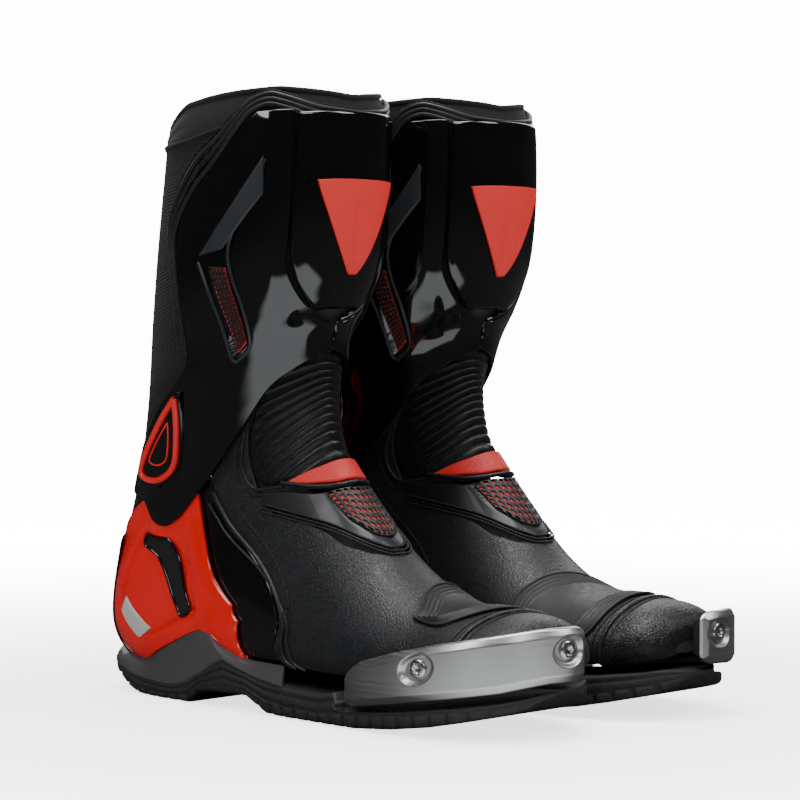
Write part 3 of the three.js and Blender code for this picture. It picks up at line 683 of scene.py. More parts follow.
def add_shift_pad(boot):
    body = boot["foot"]
    rear = [[4.05, 42], [4.12, 30], [4.35, 14], [4.55, -8], [4.7, -34], [4.78, -56], [4.68, -76],
        [4.3, -88]]
    front = [[3.5, 44], [3.22, 30], [3.05, 12], [2.98, -12], [2.96, -36], [3.0, -58], [3.16, -76],
        [3.6, -88]]

    def ribs(u, phi):
        d = off_path(u, phi, rear + front[::-1] + rear[:1])
        return -0.35 + 0.45 * np.cos(np.clip(d, 0, 7.0) / 1.75 * 2 * np.pi) * (d < 7.0)
    layer(boot, "shift_pad", rear, front, -0.9, (110, 150), "shift", body,
        stands_for=["shift_pad"], slot="shift_rubber", thick=1.6, rim=1.0, raised=ribs)
    tubes(boot, "shift_pad_edge", [rear + front[::-1] + rear[:1]], 0.8, "shift", body,
        lift=-1.4)


def add_heel(boot):
    body = boot["foot"]
    layer(boot, "heel_counter", round_back(COUNTER_LOW), round_back(COUNTER_HIGH), -3.4, (60, 200),
        "counter", body, stands_for=["heel_counter"], slot="counter_gloss", thick=1.6, rim=0.8)
    well = sunk(CUP_WELL, 1.5)
    well_medial = sunk([[u, 360 - p] for u, p in CUP_WELL], 1.5)
    ridge = [[9.9, 84], [9.1, 85], [8.3, 90], [7.75, 96]]

    def cup_shape(u, phi):
        back = np.where(phi > 180, 360 - phi, phi)
        shape = well(u, phi) + well_medial(u, phi)
        shape += 1.1 * np.exp(-(off_path(u, back, ridge) / 2.6) ** 2)
        shape -= 1.2 * smoothstep(u, 10.35, 10.95) * smoothstep(back, 96, 120)
        return shape
    layer(boot, "heel_cup", round_back(CUP_LOW), round_back(CUP_HIGH), -0.3, (90, 300), "red",
        body, stands_for=["heel_cup"], slot="red_cup", thick=2.0, rim=1.4, raised=cup_shape,
        crowd=(0.5, 0.3))
    slot = [[10.42, 107], [10.2, 101], [9.98, 95.5], [9.78, 92.6], [9.4, 91.2], [9.0, 91.6],
        [8.6, 93.6], [8.3, 96.5]]
    slot_rear = [[10.3, 108], [10.06, 103], [9.84, 99.5], [9.64, 97.8], [9.35, 96.9], [9.0, 97.2],
        [8.64, 98.8], [8.4, 101]]
    frame_line = slot + slot_rear[::-1] + slot[:1]
    for which, flip in HANDS:
        stands = ["heel_vent"] if which == "lateral" else []
        layer(boot, f"heel_vent_{which}", flip(slot), flip(slot_rear), -0.75, (24, 120), "mesh",
            body, stands_for=stands, slot="heel_mesh", thick=0.9, rim=0.3)
        tubes(boot, f"heel_vent_frame_{which}", [flip(frame_line)], 0.85, "counter", body,
            lift=-0.65, step=1.5)
    pad_a, pad_b = [[9.92, 127], [9.4, 122], [8.93, 119.5]], [[9.84, 135], [9.4, 133], [9.05, 132]]
    layer(boot, "heel_pad_lateral", pad_a, pad_b, -0.6, (20, 40), "pad", body,
        stands_for=["heel_pad"], slot="heel_pad", thick=0.9, rim=1.3)
    layer(boot, "heel_pad_medial", mirrored(pad_a), mirrored(pad_b), -0.7, (20, 40), "pad", body,
        slot="heel_pad", thick=0.9, rim=0.8)
    spine_low = [[8.9, 157], [9.5, 152], [10.1, 146], [10.6, 141], [11.0, 136]]
    layer(boot, "heel_spine", spine_low, [[u, 360 - p] for u, p in spine_low], 0.5, (40, 60),
        "counter", body, slot="counter_gloss", thick=1.0, rim=1.0)
    add_heel_band(boot)


BAND_TOP = [[6.2, 116], [6.5, 115.5], [6.84, 114.5], [7.35, 106.5], [7.8, 100.5], [8.1, 108],
    [8.5, 128.5], [8.76, 146], [9.3, 158], [9.75, 180]]
BAND_FOOT = [162, 152, 140, 124, 113, 96, 72, 46, 17, 2]


def add_heel_band(boot):
    """The satin band that joins the heel cup to the edge of the sole."""
    side = boot["side"]
    plan = np.array(SOLE_PLAN, float)
    top_row = round_back(BAND_TOP)
    foot_row = [[s, 1] for s in BAND_FOOT] + [[s, -1] for s in BAND_FOOT[-2::-1]]

    def place(a, b):
        edge = curve(top_row, b)
        foot = curve(foot_row, b)
        s = foot[:, 0]
        lateral = np.interp(s, plan[:, 0], plan[:, 1])
        medial = np.interp(s, plan[:, 0], plan[:, 2])
        w = np.where(b < 0.5, lateral, -medial)
        w = w * np.clip(np.abs(b - 0.5) / 0.03, 0, 1)
        low = np.stack([w, s, along(SOLE_TOP, s) - 0.4], -1)
        high = skin(edge[:, 0], edge[:, 1], -1.2)
        middle = np.array([0.0, 90.0, 20.0])
        t = a[:, None]
        spots = high * (1 - t) + low * t
        away = spots - middle
        away[:, 1] *= 0.35
        away[:, 2] = 0
        away /= np.maximum(np.linalg.norm(away, axis=1, keepdims=True), 1e-6)
        rim = np.minimum(a, 1 - a)
        bulge = 1.2 * np.sin(np.pi * a) - 0.7 * np.clip(1 - rim / 0.06, 0, 1) ** 2
        spots = spots + away * bulge[:, None]
        return world(side, spots), world(side, away + middle) - world(side, middle)
    bm = grid(30, 240, place, (0.5, 0), length=(0.02, 0.3))
    piece(boot, "heel_band", bm, "satin", boot["foot"], slot="counter_gloss", thick=1.5, bevel=0.3)


HEEL_END, SOLE_LENGTH, TREAD_PITCH = 2, 312, 9.5
SOLE_PLAN = [[2, 5, 5], [3.5, 9.5, 9.5], [8, 15.5, 15.5], [16, 21, 21], [30, 26, 26],
    [60, 31.5, 33], [100, 35, 37], [140, 38, 41], [175, 41, 45], [205, 44, 49], [240, 46, 51],
    [262, 45, 49], [280, 41, 45], [295, 33, 38], [305, 23, 29], [311, 12, 19], [314, 3, 10]]
SOLE_BOTTOM = [[-4, 20], [6, 15], [18, 9], [28, 4], [38, 0.5], [46, 0], [84, 0], [93, 7], [132, 8],
    [148, 0.6], [160, 0], [215, 0], [240, 2], [262, 5], [280, 8.5], [295, 12], [306, 15],
    [314, 19]]
SOLE_TOP = [[-4, 24], [4, 19], [14, 14.5], [28, 11.5], [45, 9.2], [60, 8.4], [70, 8.2], [82, 10.5],
    [95, 16.5], [106, 22.5], [114, 25.5], [121, 23.5], [140, 19], [165, 15.5], [190, 14.5],
    [201, 17], [240, 20], [273, 22], [299, 25], [314, 28]]
SLIDER_ROOM = [[200, 60], [206, 38.5], [235, 40], [255, 39], [272, 35], [288, 29], [301, 21],
    [309, 11], [314, 2]]


def add_sole(boot):
    side = boot["side"]
    plan = np.array(SOLE_PLAN, float)
    # each row: share of the half width, height from bottom to top, blocks the tread reaches
    section = np.array([[0, 0, 0], [0.55, 0, 0], [0.9, 0, 0], [0.965, 0.03, 1], [1.0, 0.12, 1],
        [1.005, 0.3, 1], [0.99, 0.36, 0], [0.985, 0.42, 0], [1.0, 0.48, 0], [1.0, 0.66, 0],
        [0.985, 0.72, 0], [0.985, 0.78, 0], [1.0, 0.85, 0], [0.99, 0.95, 0], [0.955, 1.0, 0],
        [0.8, 1.0, 0], [0, 1.0, 0]])

    def place(a, b):
        s = HEEL_END + SOLE_LENGTH * (0.45 * b + 0.55 * (0.5 - 0.5 * np.cos(np.pi * b)))
        turn = np.abs(2 * a - 1) * (len(section) - 1)
        share, height, tread = (np.interp(turn, np.arange(len(section)),
            section[:, k]) for k in range(3))
        lateral = a > 0.5
        reach = np.where(lateral, np.interp(s, plan[:, 0], plan[:, 1]),
            np.interp(s, plan[:, 0], plan[:, 2]))
        beside = lateral & (s > 203) & (height > 0.5)
        room = along(SLIDER_ROOM, s)
        reach = np.where(beside, np.minimum(reach, room), reach)
        notch = tread * smoothstep(np.cos(s * 2 * np.pi / TREAD_PITCH), 0.55, 0.9)
        notch *= (smoothstep(s, 132, 150) + 1 - smoothstep(s, 84, 96))
        w = np.where(lateral, 1, -1) * (reach * share - 1.3 * notch)
        low, top = along(SOLE_BOTTOM, s), along(SOLE_TOP, s)
        top = np.where(beside, np.minimum(top, along(SLIDER_LOW, s) + 3), top)
        waist = smoothstep(s, 88, 100) * (1 - smoothstep(s, 150, 165))
        w -= np.sign(w) * waist * 0.5 * np.sin(height * 30) * (height > 0.15)
        tip = 1 - np.sqrt(1 - smoothstep(s, 298, 314.2) ** 2)
        height = 0.5 + (height - 0.5) * (1 - 0.8 * tip)
        z = low + (top - low) * height + 0.8 * notch * (1 - height)
        spots = world(side, np.stack([w, s, z], -1))
        middle = world(side, np.stack([0 * w, s, (low + top) / 2], -1))
        return spots, spots - middle
    bm = grid(2 * 34, 330, place, (0, 0), around=True, length=(0.2, 0.32))
    bmesh.ops.holes_fill(bm, edges=[e for e in bm.edges if e.is_boundary], sides=0)
    piece(boot, "sole", bm, "sole", boot["foot"], stands_for=["outsole"], slot="sole_rubber")


def slider_spot(t, high, out=0.0):
    path = np.array(SLIDER_PATH, float)
    w, s = np.moveaxis(curve(path, t), -1, 0)
    w2, s2 = np.moveaxis(curve(path, np.clip(np.asarray(t) + 0.004, 0, 1.004)), -1, 0)
    w1, s1 = np.moveaxis(curve(path, np.clip(np.asarray(t) - 0.004, -0.004, 1)), -1, 0)
    run = np.hypot(w2 - w1, s2 - s1)
    tw, ts = (w2 - w1) / run, (s2 - s1) / run
    z = along(SLIDER_LOW, s) * (1 - high) + along(SLIDER_HIGH, s) * high
    return np.stack([w + ts * out, s - tw * out, z], -1), np.stack([ts, -tw, 0 * ts], -1)


def add_slider(boot):
    side, body = boot["side"], boot["foot"]
    path = np.array(SLIDER_PATH, float)
    run = np.linalg.norm(np.diff(curve(path, np.linspace(0, 1, 400)), axis=0), axis=1)
    length = np.concatenate([[0], np.cumsum(run)])
    screws = [(0.33, 0.62), (0.9, 0.58)]
    dish = [(np.interp(t, np.linspace(0, 1, 400), length), h) for t, h in screws]

    def place(a, b):
        at = np.interp(a, np.linspace(0, 1, 400), length)
        low = along(SLIDER_LOW, curve(path, a)[:, 1])
        high = along(SLIDER_HIGH, curve(path, a)[:, 1])
        tall = high - low
        ends = np.minimum(at, length[-1] - at)
        near_end = np.clip(ends / 9.0, 0, 1)
        # the plate's ends are rounded in height and its rim is bevelled
        share = 0.5 + (b - 0.5) * (0.62 + 0.38 * np.sqrt(1 - (1 - near_end) ** 2))
        rim = np.minimum(np.minimum(b, 1 - b) * tall, ends)
        out = -1.9 * np.clip(1 - rim / 4.2, 0, 1) ** 1.1
        out -= 0.9 * np.clip(1 - rim / 1.0, 0, 1) ** 2
        for where, height in dish:
            d = np.hypot((at - where) / 10.0, (b - height) * tall / 7.2)
            dished = -2.4 * (1 - smoothstep(d, 0.82, 1.1)) + out * smoothstep(d, 0.8, 1.1)
            out = np.where(d < 1.15, np.minimum(out, dished), out)
        spots, facing = slider_spot(a, share, out)
        return world(side, spots), world(side, spots + facing) - world(side, spots)
    bm = grid(300, 60, place, (0.35, 0.5), length=(length[-1] * MM, 0.028))
    piece(boot, "slider_plate", bm, "alloy", body, stands_for=["toe_slider"], slot="slider_alloy",
        thick=2.6, bevel=0.3)
    def backing(a, b):
        share = 0.08 + 0.8 * b
        t = 0.04 + 0.93 * a
        spots, facing = slider_spot(t, share, -3.4 - 0.8 * np.abs(2 * b - 1) ** 6)
        return world(side, spots), world(side, spots + facing) - world(side, spots)
    bm = grid(160, 24, backing, (0.3, 0.5), length=(length[-1] * MM, 0.022))
    piece(boot, "slider_backing", bm, "sole", body, slot="sole_rubber", thick=8.0, bevel=0.8)
    for (at, high), which in zip(screws, ("rear", "front")):
        spot, facing = (v[0] for v in slider_spot(np.array([at]), np.array([high]), 0.0))
        add_screw(boot, which, world(side, spot), world(side, spot + facing) - world(side, spot))


def add_screw(boot, which, centre, out):
    """A round button head with a six-lobed recess."""
    bm = bmesh.new()
    bmesh.ops.create_circle(bm, cap_ends=False, radius=5.1 * MM, segments=48)
    rim = bm.edges[:]
    for radius, height in ((5.1, 0.5), (4.7, 1.0), (3.9, 1.3), (2.5, 1.4), (2.2, 1.35)):
        made = bmesh.ops.extrude_edge_only(bm, edges=rim)["geom"]
        verts = [g for g in made if isinstance(g, bmesh.types.BMVert)]
        rim = [g for g in made if isinstance(g, bmesh.types.BMEdge)]
        for v in verts:
            lobe = 1 + 0.13 * math.cos(6 * math.atan2(v.co.y, v.co.x)) * (radius < 2.4)
            v.co = Vector((v.co.x, v.co.y, 0)).normalized() * radius * lobe * MM
            v.co.z = height * MM
    made = bmesh.ops.extrude_edge_only(bm, edges=rim)["geom"]
    for v in (g for g in made if isinstance(g, bmesh.types.BMVert)):
        v.co.z = -0.2 * MM
    bmesh.ops.holes_fill(bm, edges=[e for e in bm.edges if e.is_boundary], sides=0)
    bmesh.ops.recalc_face_normals(bm, faces=bm.faces[:])
    turn = Vector(out).normalized().to_track_quat("Z", "Y").to_matrix().to_4x4()
    bmesh.ops.transform(bm, matrix=turn, verts=bm.verts[:])
    bmesh.ops.translate(bm, vec=Vector(centre) - Vector(out).normalized() * 2.4 * MM,
        verts=bm.verts[:])
    piece(boot, f"slider_screw_{which}_head", bm, "steel", boot["foot"],
        stands_for=[f"slider_screw_{which}"], slot="screw_steel")


FOLDS, FOLD_HEIGHT = 14, 2.4


def add_bellows(boot):
    border = [[7.3, 14], [7.6, 31], [8.15, 43], [8.8, 54], [9.8, 56], [10.6, 54], [11.15, 46],
        [11.5, 24]]

    def folds(u, phi):
        share = (u - 7.35 - 0.35 * np.abs(phi / 50) ** 2) / (11.45 - 7.35)
        wave = np.abs(np.sin(share * FOLDS * np.pi))
        edge = smoothstep(np.abs(phi), 46, 54)
        return (FOLD_HEIGHT * wave ** 0.7 - 1.0) * (1 - edge)
    layer(boot, "bellows", border, mirrored(border), -3.9, (70, 300), "bellows",
        crossing(boot, (8.2, 0), (11.2, 0)), stands_for=["bellows"], slot="bellows_leather",
        thick=1.2, rim=0.3, raised=folds, crowd=(0.2, 0.1))
    trim = [[8.1, 45.5], [8.8, 57], [9.7, 59.5], [10.45, 58]]
    tubes(boot, "bellows_edge", [trim, mirrored(trim)], 0.9, "piping", boot["foot"],
        lift=-2.3)
    seam = [[u - 0.02, p + 2.6] for u, p in trim]
    stitches(boot, "bellows_stitching", [seam, mirrored(seam)], "thread", boot["foot"],
        lift=-2.5, pitch=2.6)


# ---------------------------------------------------------------- shaft

COLLAR_TOP = [[0, 16.74], [25, 16.84], [50, 16.96], [85, 17], [110, 16.94], [128, 16.7],
    [142, 16.5], [180, 16.42]]
RIB_EDGE = [[16.12, 0], [16.22, 24], [16.5, 45], [16.62, 56], [16.5, 66], [16.2, 73], [15.84, 81],
    [15.44, 92], [15.12, 101], [14.84, 104.5], [14.3, 101], [13.6, 95], [13.05, 92]]
SHELL_FRONT = [[16.45, 38.5], [15.9, 38.5], [15.2, 38.5], [14.5, 38.5], [13.9, 38], [13.05, 25],
    [12.6, 12], [12.3, 0.5], [11.9, 0.5], [11.35, 0.5], [11.15, 26], [11.03, 43], [10.6, 56],
    [10.3, 66]]
SHELL_REAR = [[16.5, 62], [15.84, 79], [15.1, 98], [14.5, 101], [13.6, 94], [12.97, 91],
    [12.7, 96], [12.5, 111], [12.15, 132], [11.6, 132], [11.1, 114], [10.42, 101], [10.0, 89],
    [10.06, 77]]


def add_shells(boot):
    body = boot["shaft"]
    for which, flip in HANDS:
        trench = sunk(flip([[15.5, 58], [15.0, 71], [14.5, 84], [13.4, 74], [12.35, 64],
            [12.5, 57], [13.4, 64], [14.4, 73], [14.95, 64], [15.35, 55]]), 1.4)
        fold = flip([[16.2, 50], [15.3, 50], [14.4, 50], [13.6, 44], [12.9, 34]])
        lobe = flip([[12.6, 84], [11.9, 80], [11.2, 79], [10.6, 80]])

        def sculpt(u, phi):
            shape = trench(u, phi)
            shape += 1.5 * (1 - smoothstep(u, 11, 12.6))
            shape += 1.0 * np.exp(-(off_path(u, phi, fold) / 7) ** 2)
            shape += 1.0 * np.exp(-(off_path(u, phi, lobe) / 6) ** 2)
            return shape - 0.8 * smoothstep(np.abs(phi), 104, 126)
        layer(boot, f"shell_{which}_cover", flip(SHELL_FRONT), flip(SHELL_REAR), -0.2, (110, 260),
            "shell", body, stands_for=[f"shell_{which}"], slot="shell_gloss", thick=2.0, rim=1.6,
            raised=sculpt)
    shin_side = [[16.38, 37], [15.2, 37.5], [14.1, 37], [13.1, 24], [12.72, 15]]
    layer(boot, "shin_cover", shin_side, mirrored(shin_side), 1.2, (120, 120), "shin", body,
        stands_for=["shin_plate"], slot="shin_plate", thick=2.4, rim=2.0)
    badge = [[15.22, 24.5], [14.95, 21], [14.2, 9.5], [13.6, 1.5]]
    layer(boot, "shin_mark", badge, mirrored(badge), 2.9, (50, 70), "badge", body,
        stands_for=["shin_badge"], slot="shin_badge", thick=1.6, rim=1.0, raised=lambda u,
        p: -0.7 * np.exp(-(p / 2.2) ** 2) * smoothstep(u, 13.9,
        14.1) * (1 - smoothstep(u, 14.75, 14.95)))


def add_vents(boot):
    body = boot["shaft"]
    for which, flip in HANDS:
        stands = ["calf_vent"] if which == "lateral" else []
        top_a = flip([[15.12, 54.5], [14.85, 63.5], [14.46, 75.5]])
        top_b = flip([[15.66, 56], [15.1, 71.5], [14.48, 87.5]])
        layer(boot, f"vent_bar_{which}", top_a, top_b, 1.5, (24, 60), "vent", body,
            stands_for=stands, slot="vent_frame", thick=2.0, rim=1.5)
        strip_a = flip([[14.3, 83], [13.4, 73.5], [12.4, 62.5]])
        strip_b = flip([[14.2, 74], [13.4, 66], [12.55, 58]])
        perforated(boot, f"vent_grille_{which}", strip_a, strip_b, (5, 18), 0.4, "dark", body,
            slot="vent_frame", thick=0.8, bar=0.55)
        layer(boot, f"vent_underlay_{which}", strip_a, strip_b, -0.9, (10, 40), "red_mesh", body,
            thick=0.3, rim=0.1, slot="vent_frame")
        rim = flip([[15.6, 55], [15.0, 64], [14.42, 72.5], [13.4, 63], [12.42, 55.5], [12.2, 60],
            [12.3, 65], [13.4, 76], [14.4, 87.5]])
        tubes(boot, f"vent_rim_{which}", [rim], 0.9, "vent", body, lift=0.2)


def add_ankle_badges(boot):
    body = boot["shaft"]
    for which, flip in HANDS:
        front = flip([[12.42, 92], [12.1, 90], [11.5, 88.3], [10.86, 89]])
        rear = flip([[12.3, 98], [11.95, 112], [11.52, 118.5], [10.9, 99]])
        layer(boot, f"badge_plate_{which}", front, rear, 2.7, (40, 60), "counter", body,
            stands_for=[f"ankle_badge_{which}"], slot="ankle_badge", thick=1.4, rim=1.4)
        ring = flip([[12.32, 93.5], [11.9, 91.4], [11.4, 90.6], [11.0, 91.5], [11.02, 98],
            [11.3, 108], [11.6, 115.5], [11.8, 113], [12.1, 103], [12.32, 93.5]])
        middle = np.mean(ring[:-1], axis=0)
        inner = [list(middle + (np.array(spot) - middle) * 0.52) for spot in ring]
        tubes(boot, f"badge_line_{which}", [inner], 0.5, "red_rim", body, lift=2.75)
        tubes(boot, f"badge_ring_{which}", [ring], 1.8, "red_rim", body, lift=2.9)


def add_collar(boot):
    body = boot["shaft"]

    def plump(u, phi, b):
        back = smoothstep(np.abs(phi), 96, 118)
        return 1.4 * np.sin(np.pi * b) ** 0.6 - 1.2 * b ** 5 - 0.5 * back * np.exp(-((b - 0.45)
            / 0.08) ** 2)
    collar = sleeve(boot, "collar_cover", [[0, 15.75], [50, 16.0], [78, 15.95], [110, 16.02],
        [180, 16.02]], COLLAR_TOP, -4.2, (220, 30), "collar", body, stands_for=["collar"],
        slot="collar_microfibre", thick=5.0, raised=plump, bevel=1.2)
    rim = [[along(COLLAR_TOP, abs(p)), p] for p in range(-180, 181, 10)]
    tubes(boot, "collar_hem", [rim], 1.6, "collar", body, lift=-5.0)
    fold = [[16.18, 150], [16.2, 138], [16.16, 104], [16.22, 89], [16.3, 76]]
    tubes(boot, "collar_fold", [fold, mirrored(fold)], 0.9, "collar", body,
        lift=-2.7)
    ribs = []
    for du, dp in ((0.0, 0.0), (0.12, 2.4), (0.24, 4.6)):
        path = [[u + du * (1 if p < 70 else 0.8), p + dp * (p > 60) * min(1, (p - 60) / 30)] for u,
            p in RIB_EDGE]
        ribs += [path, mirrored(path)]
    tubes(boot, "collar_ribs", ribs, 1.35, "piping", body, lift=-1.2)
    seam = [[u + 0.33, p + 6.5 * (p > 60) * min(1, (p - 60) / 30)] for u, p in RIB_EDGE[:11]]
    stitches(boot, "collar_stitching", [seam, mirrored(seam)], "thread", body,
        lift=-2.2)


def add_calf(boot):
    body = boot["shaft"]
    front = [[16.2, 74], [15.7, 76], [15.1, 90], [14.5, 92], [13.8, 86], [13.1, 82], [12.7, 84],
        [12.3, 96], [11.6, 112], [11.2, 122]]
    rear = [[u, 360 - p] for u, p in front]
    layer(boot, "calf_textile", front, rear, -3.2, (140, 160), "textile",
        crossing(boot, (11.2, 180), (12.2, 180)), stands_for=["calf_panel"], slot="calf_textile",
        thick=1.2, rim=0.4, raised=lambda u, p: 0.9 * np.sin(np.pi * np.clip((u - 11.2) / 4.5, 0,
        1)))
    sleeve(boot, "shaft_lining_cloth", [[0, 11.5], [60, 11.35], [90, 11.3], [130, 11.7],
        [180, 11.85]], [[0, 16.3], [50, 16.4], [95, 16.3], [180, 16.1]], -7.4, (110, 50), "lining",
        body, stands_for=["shaft_lining"], slot="lining_textile", thick=1.6)
    wall = [[u, p] for u, p in ((12.3, -91), (12.9, -86), (13.5, -84.5), (14.1, -90))]
    tubes(boot, "zip_guard", [wall], 1.3, "red_rim", body, lift=-1.6)


TOE_SHARE = 0.15  # of the sock's rows close its toe


def add_inside(boot):
    """The sock lining of the foot and the insole that lies in it."""
    side = boot["side"]
    bearings = np.linspace(-180, 180, 73)
    toe = skin(1.7, bearings, -7.2).mean(axis=0) + [0, 6, 0]
    high = [[0, 6.85], [30, 7.2], [50, 9], [70, 10.1], [90, 10.6], [130, 11], [180, 11.05]]

    def place(a, b):
        phi = 360 * a - 180
        open_share = np.clip(b / TOE_SHARE, 0, 1)
        u = 1.7 + (along(high, np.abs(phi)) - 1.7) * np.clip((b - TOE_SHARE) / (1 - TOE_SHARE), 0,
            1)
        ring = skin(u, phi, -7.2)
        spots = toe + (ring - toe) * np.sqrt(1 - (1 - open_share[:, None]) ** 2)
        return world(side, spots), world(side, ring) - world(side, skin(u, phi, -9.2))
    bm = grid(90, 120, place, (0, 0), around=True, length=(0.3, 0.3))
    piece(boot, "sock_lining", bm, "lining", boot["foot"], stands_for=["foot_lining"],
        slot="lining_textile", thick=1.9)
    sole_side = [[2.4, 156], [4, 154], [6, 154], [8.2, 157]]
    layer(boot, "insole", sole_side, [[u, 360 - p] for u, p in sole_side], -11.0, (40, 90),
        "footbed", boot["foot"], stands_for=["footbed"], slot="footbed_foam", thick=2.4, rim=1.6,
        raised=lambda u, p: -0.9 * (1 - smoothstep(np.abs(p - 180), 10, 24)))


ZIP_BEARING, ZIP_LOW, ZIP_HIGH, TAPE_WIDTH, TOOTH_PITCH = -140, 12.3, 15.9, 13, 1.15


def add_closure(boot):
    """The rear zip's tape and teeth on the shaft, and the calf strap on its own body."""
    side, body = boot["side"], boot["shaft"]
    low, high, near, far = (Vector(world(side, skin(u, ZIP_BEARING, lift))) for u,
        lift in ((ZIP_LOW, -1.2), (ZIP_HIGH, -1.2), (14, -10), (14, 10)))
    up = (high - low).normalized()
    across = up.cross(far - near).normalized()
    out = across.cross(up).normalized()
    length = (high - low).length

    def spot(x, y, z):
        return (np.array(low) + np.outer(x, across) * MM + np.outer(y, up) + np.outer(z, out) * MM)

    def place(a, b):
        x = TAPE_WIDTH * (a - 0.5)
        edge = np.exp(-((np.abs(x) - 5.9) / 0.5) ** 2) * 0.25
        ends = np.minimum(b, 1 - b) * length / MM
        z = 0.85 + edge - 0.5 * np.clip(1 - ends / 0.8, 0, 1) ** 2
        return spot(x, b * length, z), np.tile(np.array(out), (len(a), 1))
    bm = grid(52, 160, place, (0, 0), length=(TAPE_WIDTH * MM, length))
    piece(boot, "zip_cloth", bm, "tape", body, stands_for=["zip_tape"], slot="zip_tape",
        thick=0.85)
    teeth = bead("zip_teeth", 0.42, 1)
    for k in range(int(length / (TOOTH_PITCH * MM)) - 1):
        hand = 1 if k % 2 else -1
        y = (k + 1) * TOOTH_PITCH * MM
        add_spline(teeth, spot(np.array([-0.5, 0.7, 2.3]) * hand, np.full(3, y),
            np.array([1.08, 1.16, 1.02])))
    from_curve(boot, "zip_teeth", teeth, "zip", body)

    strap = f"{boot['name']}_calf_strap"
    bearings = (-157, -164, -171, -178, -185, -191, -195.5, -198)
    taper = (0, 0, 0, 0, 0.01, 0.03, 0.09, 0.2)
    edges = [[[u + d * t, p] for p, t in zip(bearings, taper)] for u,
        d in ((14.15, 1), (14.95, -1))]
    layer(boot, "calf_strap_cover", *edges, 0.55, (30, 90), "strap", strap,
        stands_for=["calf_strap"], slot="calf_strap", thick=2.1, rim=1.2, raised=lambda u,
        p: 0.25 * np.exp(-((u - 14.55) / 0.12) ** 2))
    seam = [[[u + (0.1 + 0.8 * t) * d, p - 0.5 * (p > -160) + 1.2 * (p < -197)] for p,
        t in zip(bearings, taper)] for u, d in ((14.15, 1), (14.95, -1))]
    stitches(boot, "calf_strap_stitching", seam, "thread", strap, lift=0.5,
        pitch=2.6, radius=0.3)
    tubes(boot, "calf_strap_hinge", [[[14.2, -157.6], [14.55, -157.6], [14.9, -157.6]]], 0.8,
        "tab", strap, lift=0.15)


def add_materials(boot):
    """The zip's metal parts stay as designed, with softened edges."""
    for node in ("zip_slider", "zip_puller"):
        metal = frame["nodes"][f"{boot['name']}_{node}"]
        for k in range(len(metal.data.materials)):
            metal.data.materials[k] = FINISHES["zip"]
        edge = metal.modifiers.new("edge", "BEVEL")
        edge.width, edge.segments, edge.limit_method = 0.25 * MM, 2, "ANGLE"


def make_boot(name):
    boot = {"name": name, "side": SIDES[name], "foot": f"{name}_foot", "shaft": f"{name}_shaft"}
    for add in (add_sole, add_vamp, add_instep, add_shift_pad, add_heel, add_slider, add_bellows,
            add_shells, add_vents, add_ankle_badges, add_collar, add_calf, add_inside, add_closure,
            add_materials):
        add(boot)


for boot_name in SIDES:
    make_boot(boot_name)


# ---------------------------------------------------------------- studio

def lamp(name, place, aim, size, power):
    light = bpy.data.lights.new(name, "AREA")
    light.shape, light.size, light.size_y, light.energy = "RECTANGLE", *size, power
    obj = bpy.data.objects.new(name, light)
    bpy.context.scene.collection.objects.link(obj)
    obj.location = place
    obj.rotation_euler = (Vector(aim) - Vector(place)).to_track_quat("-Z", "Y").to_euler()


def pale_floor():
    """A white floor that glows towards the distance, and looks dim in the boots' gloss."""
    f = Finish("pale_floor", (0.93, 0.93, 0.93), 0.7, Specular_IOR_Level=0.1)
    x, y, _ = f.xyz()
    away = (x * x + y * y).power(0.5).between(0.2, 1.1)
    f.set("Emission Color", f.blend(away, (0.15, 0.15, 0.15), (1, 1, 1)))
    f.set("Emission Strength", SKY_STRENGTH)
    plain = f.node("ShaderNodeBsdfDiffuse", None, Color=(0.8, 0.8, 0.8, 1))
    dark = f.node("ShaderNodeBsdfDiffuse", None, Color=(0.03, 0.03, 0.032, 1))
    glow = f.node("ShaderNodeEmission", None, Color=(0.93, 0.98, 1, 1), Strength=GLOSS_PATCH[4])
    ahead = x * math.sin(AZIMUTH) - y * math.cos(AZIMUTH)
    aside = x * math.cos(AZIMUTH) + y * math.sin(AZIMUTH)
    near, far, left, right = GLOSS_PATCH[:4]
    patch = (ahead.between(near, near + 0.05) * (1 - ahead.between(far,
        far + 0.1)) * aside.between(left, left + 0.05) * (1 - aside.between(right, right + 0.05)))
    dim = f.node("ShaderNodeMixShader", None, patch, dark, glow)
    camera_ray = f.node("ShaderNodeLightPath", out="Is Camera Ray")
    glossy_ray = f.node("ShaderNodeLightPath", out="Is Glossy Ray")
    unseen = f.node("ShaderNodeMixShader", None, glossy_ray, plain, dim)
    both = f.node("ShaderNodeMixShader", None, camera_ray, unseen, Wire(f, f.shader.outputs[0]))
    f.tree.links.new(both.value, f.tree.nodes["Material Output"].inputs[0])
    return f.material


SKY_STRENGTH = 14.0
AZIMUTH = math.radians(-46.85)
# where the floor shows bright in gloss: ahead from, to, aside from, to, in metres; strength
GLOSS_PATCH = (0.14, 0.42, -0.2, 0.24, 1.5)


def mixed(tree, share, first, second):
    made = tree.nodes.new("ShaderNodeMixShader")
    for socket, value in zip(made.inputs, (share, first, second)):
        tree.links.new(value, socket)
    return made.outputs[0]


def background(tree, strength, colour):
    made = tree.nodes.new("ShaderNodeBackground")
    made.inputs["Color"].default_value = (*colour, 1)
    made.inputs["Strength"].default_value = strength
    return made.outputs[0]


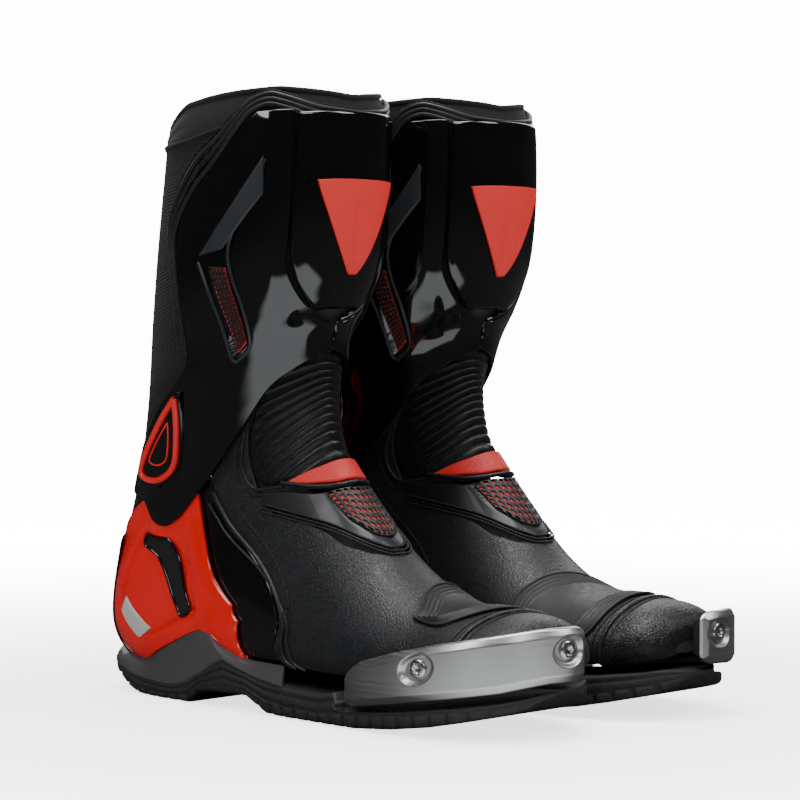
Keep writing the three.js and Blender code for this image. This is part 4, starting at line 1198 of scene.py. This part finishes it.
# each row: metres towards the camera, to its right and up, size in metres, power in watts
LAMPS = {
    "left_softbox": (0.9, -1.3, 1.35, (0.55, 1.1), 13),
    "right_softbox": (0.2, 1.3, 1.3, (0.5, 1.1), 12),
    "front_softbox": (1.9, 0.55, 1.5, (0.8, 0.5), 9),
    "top_softbox": (0.2, 0, 1.8, (1.2, 1.2), 40),
    "back_softbox": (-1.4, 0, 1.0, (2.4, 0.8), 16),
}
ELEVATION = math.radians(1.73)
CAMERA = {"lens": 127.6, "distance": 1.499, "aside": -0.0031, "aim": (0, 0.0008, 0.1588)}
LAMP_AIM = (0, 0, 0.16)
SKY_FILL, SKY_IN_GLOSS, SKY_GLOSS_COLOUR = 0.9, 0.03, (0.8, 0.8, 0.8)


def studio():
    bm = bmesh.new()
    bmesh.ops.create_grid(bm, x_segments=1, y_segments=1, size=6)
    mesh = bpy.data.meshes.new("floor")
    bm.to_mesh(mesh)
    bm.free()
    floor = bpy.data.objects.new("floor", mesh)
    bpy.context.scene.collection.objects.link(floor)
    mesh.materials.append(pale_floor())

    back = Vector((math.sin(AZIMUTH) * math.cos(ELEVATION),
        -math.cos(AZIMUTH) * math.cos(ELEVATION), math.sin(ELEVATION)))
    right = Vector((math.cos(AZIMUTH), math.sin(AZIMUTH), 0))
    camera = bpy.data.cameras.new("camera")
    camera.lens, camera.sensor_width, camera.clip_end = CAMERA["lens"], 36, 50
    view = bpy.data.objects.new("camera", camera)
    bpy.context.scene.collection.objects.link(view)
    view.location = (back * CAMERA["distance"] + right * CAMERA["aside"] + Vector(CAMERA["aim"]))
    view.rotation_euler = (-back).to_track_quat("-Z", "Y").to_euler()
    bpy.context.scene.camera = view

    flat = Vector((back.x, back.y, 0)).normalized()
    for name, (ahead, aside, height, size, power) in LAMPS.items():
        lamp(name, flat * ahead + right * aside + Vector((0, 0, height)), LAMP_AIM, size, power)

    sky = bpy.data.worlds.new("studio")
    bpy.context.scene.world = sky
    sky.use_nodes = True
    tree = sky.node_tree
    rays = tree.nodes.new("ShaderNodeLightPath").outputs
    white = (1, 1, 1)
    fill = mixed(tree, rays["Is Glossy Ray"], background(tree, SKY_FILL, white),
        background(tree, SKY_IN_GLOSS, SKY_GLOSS_COLOUR))
    seen = mixed(tree, rays["Is Camera Ray"], fill, background(tree, SKY_STRENGTH, white))
    tree.links.new(seen, tree.nodes["World Output"].inputs[0])


studio()
